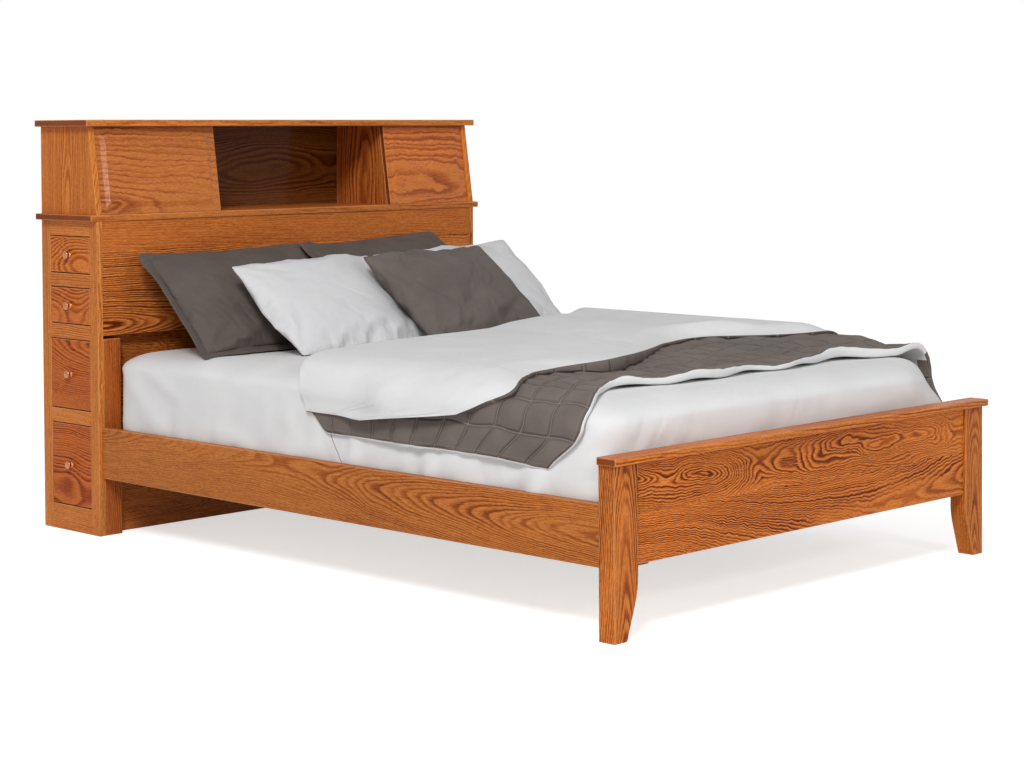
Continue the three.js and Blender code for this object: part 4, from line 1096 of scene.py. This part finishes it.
def sew(name, line, thread, closed, spacing=0.006, length=0.004, thickness=0.0012):
    """A run of stitches along a line of points, as a plain mesh that rides the bed."""
    count = len(line)
    edges = [(k, (k + 1) % count) for k in range(count if closed else count - 1)]
    data = bpy.data.meshes.new(name)
    data.from_pydata([tuple(point) for point in line], edges, [])
    piece = bpy.data.objects.new(name, data)
    scene.collection.objects.link(piece)
    modifier = piece.modifiers.new("stitches", "NODES")
    modifier.node_group = running_stitches
    values = {"Spacing": spacing, "Length": length, "Thickness": thickness, "Thread": thread}
    for item in running_stitches.interface.items_tree:
        if item.name in values:
            modifier[item.identifier] = values[item.name]
    made = bpy.data.meshes.new_from_object(piece.evaluated_get(bpy.context.evaluated_depsgraph_get()))
    piece.modifiers.remove(modifier)
    piece.data = made
    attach(piece, "bed")
    return piece


def thread_material(name, shade):
    """Twisted cotton thread."""
    material, g, shader = new_material(name)
    place = g.node("ShaderNodeTexCoord").outputs["Object"]
    twist = g.noise(g.vector_math("MULTIPLY", place, (1400, 1400, 1400)), detail=1)["Fac"]
    darker = tuple(0.7 * c for c in shade[:3]) + (1,)
    g.feed(shader.inputs["Base Color"], g.mix(twist, darker, shade))
    shader.inputs["Roughness"].default_value = 0.7
    return material


def close_cloth(name, outer, lining, cells, materials, rim_steps=5):
    """A closed cloth from its outer face and its lining, with a round rim between them."""
    row_count, column_count = outer.shape[:2]
    points = [*outer.reshape(-1, 3), *lining.reshape(-1, 3)]
    cloth_map = [*cells.reshape(-1, 2), *cells.reshape(-1, 2)]
    lining_first = row_count * column_count
    faces, kinds = [], []
    for i in range(row_count - 1):
        for j in range(column_count - 1):
            a = i * column_count + j
            quad = (a, a + 1, a + column_count + 1, a + column_count)
            faces += [quad, tuple(lining_first + k for k in quad[::-1])]
            kinds += [0, 0 if i < 3 and j > LINED_SHARE * column_count else 1]
    rim = rim_of(row_count, column_count)
    middles = (outer + lining) / 2
    loops = [[i * column_count + j for i, j, _, _ in rim]]
    for step in range(1, rim_steps):
        angle = math.pi * step / rim_steps
        loops.append(list(range(len(points), len(points) + len(rim))))
        for i, j, reach, _ in rim:
            inner = middles[min(max(i, 1), row_count - 2), min(max(j, 1), column_count - 2)]
            away = middles[i, j] - inner
            away = away / max(np.linalg.norm(away), 1e-9)
            half = (outer[i, j] - lining[i, j]) / 2
            stand = away * np.linalg.norm(half) * reach * math.sin(angle)
            points.append(middles[i, j] + half * math.cos(angle) + stand)
            drop = (1 - math.cos(angle)) * np.linalg.norm(half) / QUILT_CELL[1]
            cloth_map.append(cells[i, j] + np.array([0, drop]))
    loops.append([lining_first + k for k in loops[0]])
    for step in range(rim_steps):
        for k in range(len(rim)):
            n = (k + 1) % len(rim)
            faces.append((loops[step][n], loops[step][k], loops[step + 1][k], loops[step + 1][n]))
            kinds.append(1 if rim[k][3] and rim[n][3] else 0)
    return new_piece(name, points, faces, materials, kinds, cloth_map)


# Pillows: size, loft, flange, how each is turned in degrees, and how far its top leans sideways
PILLOWS = (
    ("sham_left", "pillow_sham_left", 0.686, 0.478, 0.130, 0.034, 0, 41, 1.5, 0.03),
    ("sham_right", "pillow_sham_right", 0.662, 0.480, 0.125, 0.034, 2, 42, 3.5, -0.01),
    ("white_pillow_left", "pillow_white_left", 0.576, 0.400, 0.130, 0, 1, 40, 1.5, -0.012),
    ("white_pillow_right", "pillow_white_right", 0.600, 0.390, 0.105, 0, -4, 42, 4, 0),
    ("accent_pillow", "pillow_accent", 0.566, 0.388, 0.140, 0, 5, 46, 1.2, -0.05),
)
# Folds pressed into a pillow's face: two ends in shares of its half size, half width and depth
PRESSED_FOLDS = {
    "sham_left": ((-0.82, -0.8, -0.35, -0.3, 0.016, 0.006), (-0.1, -0.95, 0.0, -0.5, 0.012, 0.004),
                  (0.15, -0.95, 0.22, -0.45, 0.012, 0.004)),
    "white_pillow_left": ((0.1, -0.75, 0.75, -0.55, 0.012, 0.006), (0.3, -0.5, 0.85, -0.4, 0.010, 0.005),
                          (-0.2, -0.85, 0.5, -0.72, 0.009, 0.004), (0.5, -0.9, 0.9, -0.2, 0.014, 0.006)),
    "accent_pillow": ((0.55, -0.9, 0.45, -0.2, 0.018, 0.030), (0.45, -0.2, 0.2, 0.1, 0.024, 0.014),
                      (-0.35, -0.45, 0.1, -0.15, 0.026, 0.018), (0.2, -0.7, 0.75, -0.35, 0.016, 0.018),
                      (-0.75, 0.3, -0.3, -0.5, 0.020, 0.014)),
}
PILLOW_STEP = 0.0095
PILLOW_SINK = 0.014
HEADBOARD_FACE = 0.911


def pillow_case(name, width, height, seed, material):
    """Two flat sheets of cloth sewn together round their edge, and the points of that seam in order."""
    columns, rows = round(width / PILLOW_STEP), round(height / PILLOW_STEP)
    points, cloth_map, front, back = [], [], {}, {}
    for i in range(columns + 1):
        for j in range(rows + 1):
            x, y = (i / columns - 0.5) * width, (j / rows - 0.5) * height
            on_rim = i in (0, columns) or j in (0, rows)
            crease = 0.004 * noise.noise(Vector((x * 18, y * 18, seed)))
            front[i, j] = len(points)
            points.append((x, y, 0 if on_rim else 0.004 + crease))
            cloth_map.append((x, y))
            back[i, j] = front[i, j]
            if not on_rim:
                back[i, j] = len(points)
                points.append((x, y, -0.004 + crease))
                cloth_map.append((x, y))
    faces = []
    for i in range(columns):
        for j in range(rows):
            faces.append((front[i, j], front[i + 1, j], front[i + 1, j + 1], front[i, j + 1]))
            faces.append((back[i, j], back[i, j + 1], back[i + 1, j + 1], back[i + 1, j]))
    rim = [(i, 0) for i in range(columns)] + [(columns, j) for j in range(rows)]
    rim += [(i, rows) for i in range(columns, 0, -1)] + [(0, j) for j in range(rows, 0, -1)]
    piece = new_piece(name, points, faces, [material], cloth_map=cloth_map)
    corners = np.empty(len(piece.data.loops), int)
    piece.data.loops.foreach_get("vertex_index", corners)
    to_seam = np.array([width / 2, height / 2]) - np.abs(np.array(cloth_map))
    piece.data.uv_layers.new(name="seam").data.foreach_set("uv", to_seam[corners].ravel())
    return piece, [front[place] for place in rim]


def inflate(piece, pressure=2.0, frames=30, tension=40, bending=0.05):
    """Fills a sewn case by cloth simulation, and leaves the result in its mesh."""
    modifier = piece.modifiers.new("filling", "CLOTH")
    settings = modifier.settings
    settings.quality = 6
    settings.mass = 0.2
    settings.tension_stiffness = tension
    settings.compression_stiffness = tension
    settings.shear_stiffness = tension * 0.4
    settings.bending_stiffness = bending
    settings.tension_damping = 10
    settings.compression_damping = 10
    settings.air_damping = 2
    settings.use_pressure = True
    settings.uniform_pressure_force = pressure
    settings.effector_weights.gravity = 0
    modifier.collision_settings.use_collision = False
    modifier.point_cache.frame_start = 1
    modifier.point_cache.frame_end = frames
    for number in range(1, frames + 1):
        scene.frame_set(number)
    shape = piece.evaluated_get(bpy.context.evaluated_depsgraph_get())
    filled = bpy.data.meshes.new_from_object(shape)
    piece.modifiers.remove(modifier)
    piece.data = filled
    scene.frame_set(1)


def add_flange(piece, rim, flange, seed):
    """A flat double border sewn round the case, a little wavy. Returns the points of its seam."""
    points = points_of(piece)
    centre = points[rim]
    count = len(rim)
    ahead = np.roll(centre, -2, axis=0) - np.roll(centre, 2, axis=0)
    outward = np.column_stack([ahead[:, 1], -ahead[:, 0], np.zeros(count)])
    outward /= np.linalg.norm(outward, axis=1)[:, None]
    half_x, half_y = np.ptp(centre[:, 0]) / 2, np.ptp(centre[:, 1]) / 2
    across = smooth_step(half_x - 0.02, half_x, np.abs(centre[:, 0]))
    upright = smooth_step(half_y - 0.02, half_y, np.abs(centre[:, 1]))
    corner = (across * upright)[:, None]
    diagonal = np.column_stack([np.sign(centre[:, 0]), np.sign(centre[:, 1]), np.zeros(count)])
    outward = outward * (1 - corner) + diagonal * corner
    shares = (-0.2, 0.05, 0.3, 0.6, 0.85, 1.0)
    section = [(share, 1) for share in shares] + [(1.05, 0)] + [(share, -1) for share in shares[::-1]]
    to_left = smooth_step(0.7, 1, -centre[:, 0] / half_x)
    to_bottom = smooth_step(0.6, 1, -centre[:, 1] / half_y)
    to_top = smooth_step(0.6, 1, centre[:, 1] / half_y)
    bend = 0.016 * np.maximum(to_left, to_bottom) - 0.014 * to_top
    waves = soft_noise(centre, 0.06, seed) * 0.004 + soft_noise(centre, 0.02, seed + 3) * 0.0015
    waves = waves * (1 - to_top)
    loops = []
    for share, side in section:
        half_thick = 0.002 + 0.0035 * math.sin(math.pi * min(max(share, 0), 1))
        lift = waves * max(share, 0) ** 1.5 + bend * max(share, 0) ** 1.2 + side * half_thick
        loop = centre + outward * flange * share
        loop[:, 2] += lift
        loops.append(loop)
    made = np.vstack(loops)
    first = len(points)
    mesh = bmesh.new()
    mesh.from_mesh(piece.data)
    layer = mesh.loops.layers.uv["cloth"]
    verts = [mesh.verts.new(point) for point in made]
    border = []
    for s in range(len(section)):
        t = (s + 1) % len(section)
        for k in range(count):
            n = (k + 1) % count
            corners = (s * count + k, s * count + n, t * count + n, t * count + k)
            face = mesh.faces.new([verts[c] for c in corners])
            face.smooth = True
            border.append(face)
            for loop in face.loops:
                loop[layer].uv = loop.vert.co[:2]
    bmesh.ops.recalc_face_normals(mesh, faces=border)
    mesh.to_mesh(piece.data)
    mesh.free()
    return range(first + count, first + 2 * count)


def sides_of(rim, width, height):
    """The points of the seam along the bottom, the right, the top and the left of a case."""
    columns, rows = round(width / PILLOW_STEP), round(height / PILLOW_STEP)
    ring = rim + rim[:1]
    ends = (0, columns, columns + rows, 2 * columns + rows, 2 * columns + 2 * rows)
    return [ring[start:end + 1] for start, end in zip(ends, ends[1:])]


def straighten_seams(points, sides, half_width, half_height, share=0.8):
    """Pulls out the seams that the filling has drawn in, so that each side runs almost straight."""
    halves = (half_height, half_width, half_height, half_width)
    for side, axis, sign, half in zip(sides, (1, 0, 1, 0), (-1, 1, 1, -1), halves):
        edge = points[side]
        edge = edge[np.argsort(edge[:, 1 - axis])]
        reach = np.interp(points[:, 1 - axis], edge[:, 1 - axis], edge[:, axis] * sign)
        factor = 1 + share * (half / np.clip(reach, half * 0.75, half) - 1)
        points[:, axis] *= np.where(points[:, axis] * sign > 0, factor, 1)


def press_folds(points, folds, half_width, half_height):
    """Sinks soft valleys into the front of a pillow."""
    front = points[:, 2] > 0
    for x0, y0, x1, y1, width, depth in folds:
        start = np.array([x0 * half_width, y0 * half_height])
        way = np.array([x1 * half_width, y1 * half_height]) - start
        share = np.clip((points[:, :2] - start) @ way / (way @ way), 0, 1)
        nearest = start + share[:, None] * way
        apart = np.linalg.norm(points[:, :2] - nearest, axis=1)
        fade = np.sin(math.pi * (0.1 + 0.8 * share))
        points[:, 2] -= front * depth * fade * np.exp(-(apart / width) ** 2)


def make_pillows():
    for number, (name, node, width, height, loft, flange, yaw, lean, roll, slant) in enumerate(PILLOWS):
        material = next(cotton for word, cotton in PILLOW_CLOTH if word in name)
        body_width, body_height = width - 2 * flange, height - 2 * flange
        piece, rim = pillow_case(name, body_width, body_height, 3.1 * number + 1, material)
        inflate(piece)
        points = points_of(piece)
        points -= (points.max(0) + points.min(0)) / 2
        size = np.ptp(points, 0)
        points *= (body_width / size[0], body_height / size[1], loft / size[2])
        straighten_seams(points, sides_of(rim, body_width, body_height), body_width / 2, body_height / 2)
        press_folds(points, PRESSED_FOLDS.get(name, ()), body_width / 2, body_height / 2)
        points[:, 0] += slant * points[:, 1] / height
        set_points(piece, points)
        seam = add_flange(piece, rim, flange, number) if flange else []
        low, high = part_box(node)
        middle = (Vector(low) + Vector(high)) / 2
        turn = (
            Matrix.Rotation(math.radians(yaw), 4, "Z")
            @ Matrix.Rotation(math.radians(lean), 4, "X")
            @ Matrix.Rotation(math.radians(roll), 4, "Z")
        )
        piece.data.transform(Matrix.Translation(middle) @ turn)
        lowest = min(v.co.z for v in piece.data.vertices)
        lift = max(0.0, MATTRESS_TOP - PILLOW_SINK - lowest)
        piece.data.transform(Matrix.Translation((0, 0, lift)))
        settle(piece)
        if flange:
            sew(f"{name}_stitches", points_of(piece)[list(seam)], sham_thread, closed=True)
        add_subdivision(piece)
        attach(piece, "bed")
        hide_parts(node)


def settle(piece):
    """Flattens a pillow where it rests on the mattress and against the headboard."""
    points = points_of(piece)
    surface = across_bed(np.clip(points[:, 0], -0.88, 0.88))[1]
    points[:, 2] = np.maximum(points[:, 2], np.minimum(surface, MATTRESS_TOP) + 0.002)
    points[:, 1] = np.minimum(points[:, 1], HEADBOARD_FACE - 0.002)
    set_points(piece, points)


KNOB_PROFILE = (
    (0.0, 0.0), (0.0085, 0.0), (0.008, 0.0025), (0.0045, 0.005), (0.0042, 0.010), (0.0065, 0.013),
    (0.0105, 0.0155), (0.0115, 0.0185), (0.0105, 0.0215), (0.007, 0.0237), (0.003, 0.0247), (0.0, 0.025),
)
KNOB_TURNS = 40


def make_knobs():
    """A spun copper knob for each drawer, its axis on the knob of the frame."""
    copper, g, shader = new_material("knob_copper")
    place = g.node("ShaderNodeTexCoord").outputs["Object"]
    brushed = g.noise(g.vector_math("MULTIPLY", place, (900, 60, 60)), detail=2)["Fac"]
    g.feed(shader.inputs["Base Color"], g.mix(brushed, colour(172, 108, 70), colour(198, 134, 92)))
    g.feed(shader.inputs["Roughness"], g.range(brushed, 0.2, 0.8, 0.2, 0.32))
    shader.inputs["Metallic"].default_value = 1.0
    for side, outward in zip(SIDES, (-1, 1)):
        for n in NUMBERS:
            node = f"drawer_knob_{side}_{n}"
            low, high = (np.array(corner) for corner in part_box(node))
            reach = (high[0] - low[0]) / KNOB_PROFILE[-1][1]
            spread = 1.05 * (high[1] - low[1]) / 2 / max(radius for radius, _ in KNOB_PROFILE)
            base = low[0] if outward > 0 else high[0]
            points = [
                (base + outward * along * reach,
                 (low[1] + high[1]) / 2 + radius * spread * math.cos(2 * math.pi * k / KNOB_TURNS),
                 (low[2] + high[2]) / 2 + radius * spread * math.sin(2 * math.pi * k / KNOB_TURNS))
                for radius, along in KNOB_PROFILE for k in range(KNOB_TURNS)
            ]
            faces = [
                (r * KNOB_TURNS + k, r * KNOB_TURNS + (k + 1) % KNOB_TURNS,
                 (r + 1) * KNOB_TURNS + (k + 1) % KNOB_TURNS, (r + 1) * KNOB_TURNS + k)
                for r in range(len(KNOB_PROFILE) - 1) for k in range(KNOB_TURNS)
            ]
            knob = new_piece(f"copper_knob_{side}_{n}", points, faces, [copper])
            weld(knob, 0.00005)
            add_subdivision(knob)
            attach(knob, f"drawer_{side}_{n}")
            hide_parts(node)


def seen_directly(g):
    """1 for the camera's rays and for what shows in metal or through glass."""
    rays = g.node("ShaderNodeLightPath").outputs
    mirrored = g.math("MAXIMUM", rays["Is Glossy Ray"], rays["Is Transmission Ray"])
    return g.math("MAXIMUM", rays["Is Camera Ray"], mirrored)


def add_stage():
    """A pale floor under the bed, and a plain white surround."""
    half = 40.0
    data = bpy.data.meshes.new("floor")
    corners = [(-half, -half, 0), (half, -half, 0), (half, half, 0), (-half, half, 0)]
    data.from_pydata(corners, [], [(0, 1, 2, 3)])
    floor = bpy.data.objects.new("floor", data)
    scene.collection.objects.link(floor)
    material, g, shader = new_material("floor_white")
    shader.inputs["Base Color"].default_value = colour(244, 244, 244)
    shader.inputs["Roughness"].default_value = 0.9
    shader.inputs["Emission Color"].default_value = (1, 1, 1, 1)
    g.feed(shader.inputs["Emission Strength"], g.math("MULTIPLY", seen_directly(g), 0.6))
    data.materials.append(material)

    world = bpy.data.worlds.new("surround")
    scene.world = world
    world.use_nodes = True
    g = Graph(world.node_tree)
    background = world.node_tree.nodes["Background"]
    g.feed(background.inputs["Color"], (1, 1, 1, 1))
    g.feed(background.inputs["Strength"], g.between(seen_directly(g), 0.4, 1.0))


def add_lamp(name, place, target, size, power):
    data = bpy.data.lights.new(name, "AREA")
    data.shape = "DISK"
    data.size = size
    data.energy = power
    lamp = bpy.data.objects.new(name, data)
    lamp.matrix_world = Matrix.Translation(place) @ (
        (Vector(target) - Vector(place)).to_track_quat("-Z", "Y").to_matrix().to_4x4()
    )
    scene.collection.objects.link(lamp)


add_camera()
dress_oak()
dress_inner_wood()
sheet_cotton = cotton_material(
    "sheet_cotton", colour(231, 231, 231), colour(223, 223, 224), crease=(9, 2.6, 1), turn=0.5, creasing=0.4,
    pleat_shadow=True,
)
white_cotton = cotton_material(
    "white_cotton", colour(222, 222, 223), colour(211, 211, 213), crease=(7, 12, 1), turn=0.5, creasing=0.5,
    gathered=True,
)
lining_cotton = cotton_material(
    "lining_cotton", colour(231, 231, 231), colour(223, 223, 224), map_scale=QUILT_CELL, crease=(5, 9, 1),
    turn=0.9, creasing=0.7,
)
grey_cotton = cotton_material(
    "grey_cotton", colour(114, 106, 101), colour(98, 90, 85), thread=0.0009, crease=(6, 10, 1), turn=-0.7,
    creasing=1.7, gathered=True,
)
# The shams' grey is the accent's cloth darkened: painted shade
sham_cotton_painted_shade = cotton_material(
    "sham_cotton_painted_shade", colour(104, 95, 90), colour(88, 80, 75), thread=0.0009, crease=(5, 12, 1), turn=1.2,
    creasing=1.3, gathered=True,
)
quilt_cotton = cotton_material(
    "quilt_cotton", colour(123, 113, 107), colour(105, 95, 90), thread=0.001, map_scale=QUILT_CELL,
    quilted=True,
)
quilt_thread = thread_material("quilt_thread", QUILT_THREAD)
sham_thread = thread_material("sham_thread", colour(96, 88, 83))
running_stitches = stitch_tree()
PILLOW_CLOTH = (("white", white_cotton), ("sham", sham_cotton_painted_shade), ("accent", grey_cotton))
make_knobs()

mattress = make_mattress()
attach(mattress, "bed")
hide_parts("mattress")
coverlet, coverlet_hem = make_coverlet()
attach(coverlet, "bed")
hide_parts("coverlet")
make_pillows()
add_stage()
add_lamp("key", (-5.0, -3.6, 5.2), (0, 0, 0.5), 2.0, 310)
add_lamp("front", (-0.2, -5.6, 2.7), (0, 0.4, 0.8), 0.8, 40)
scene.view_settings.view_transform = "Standard"
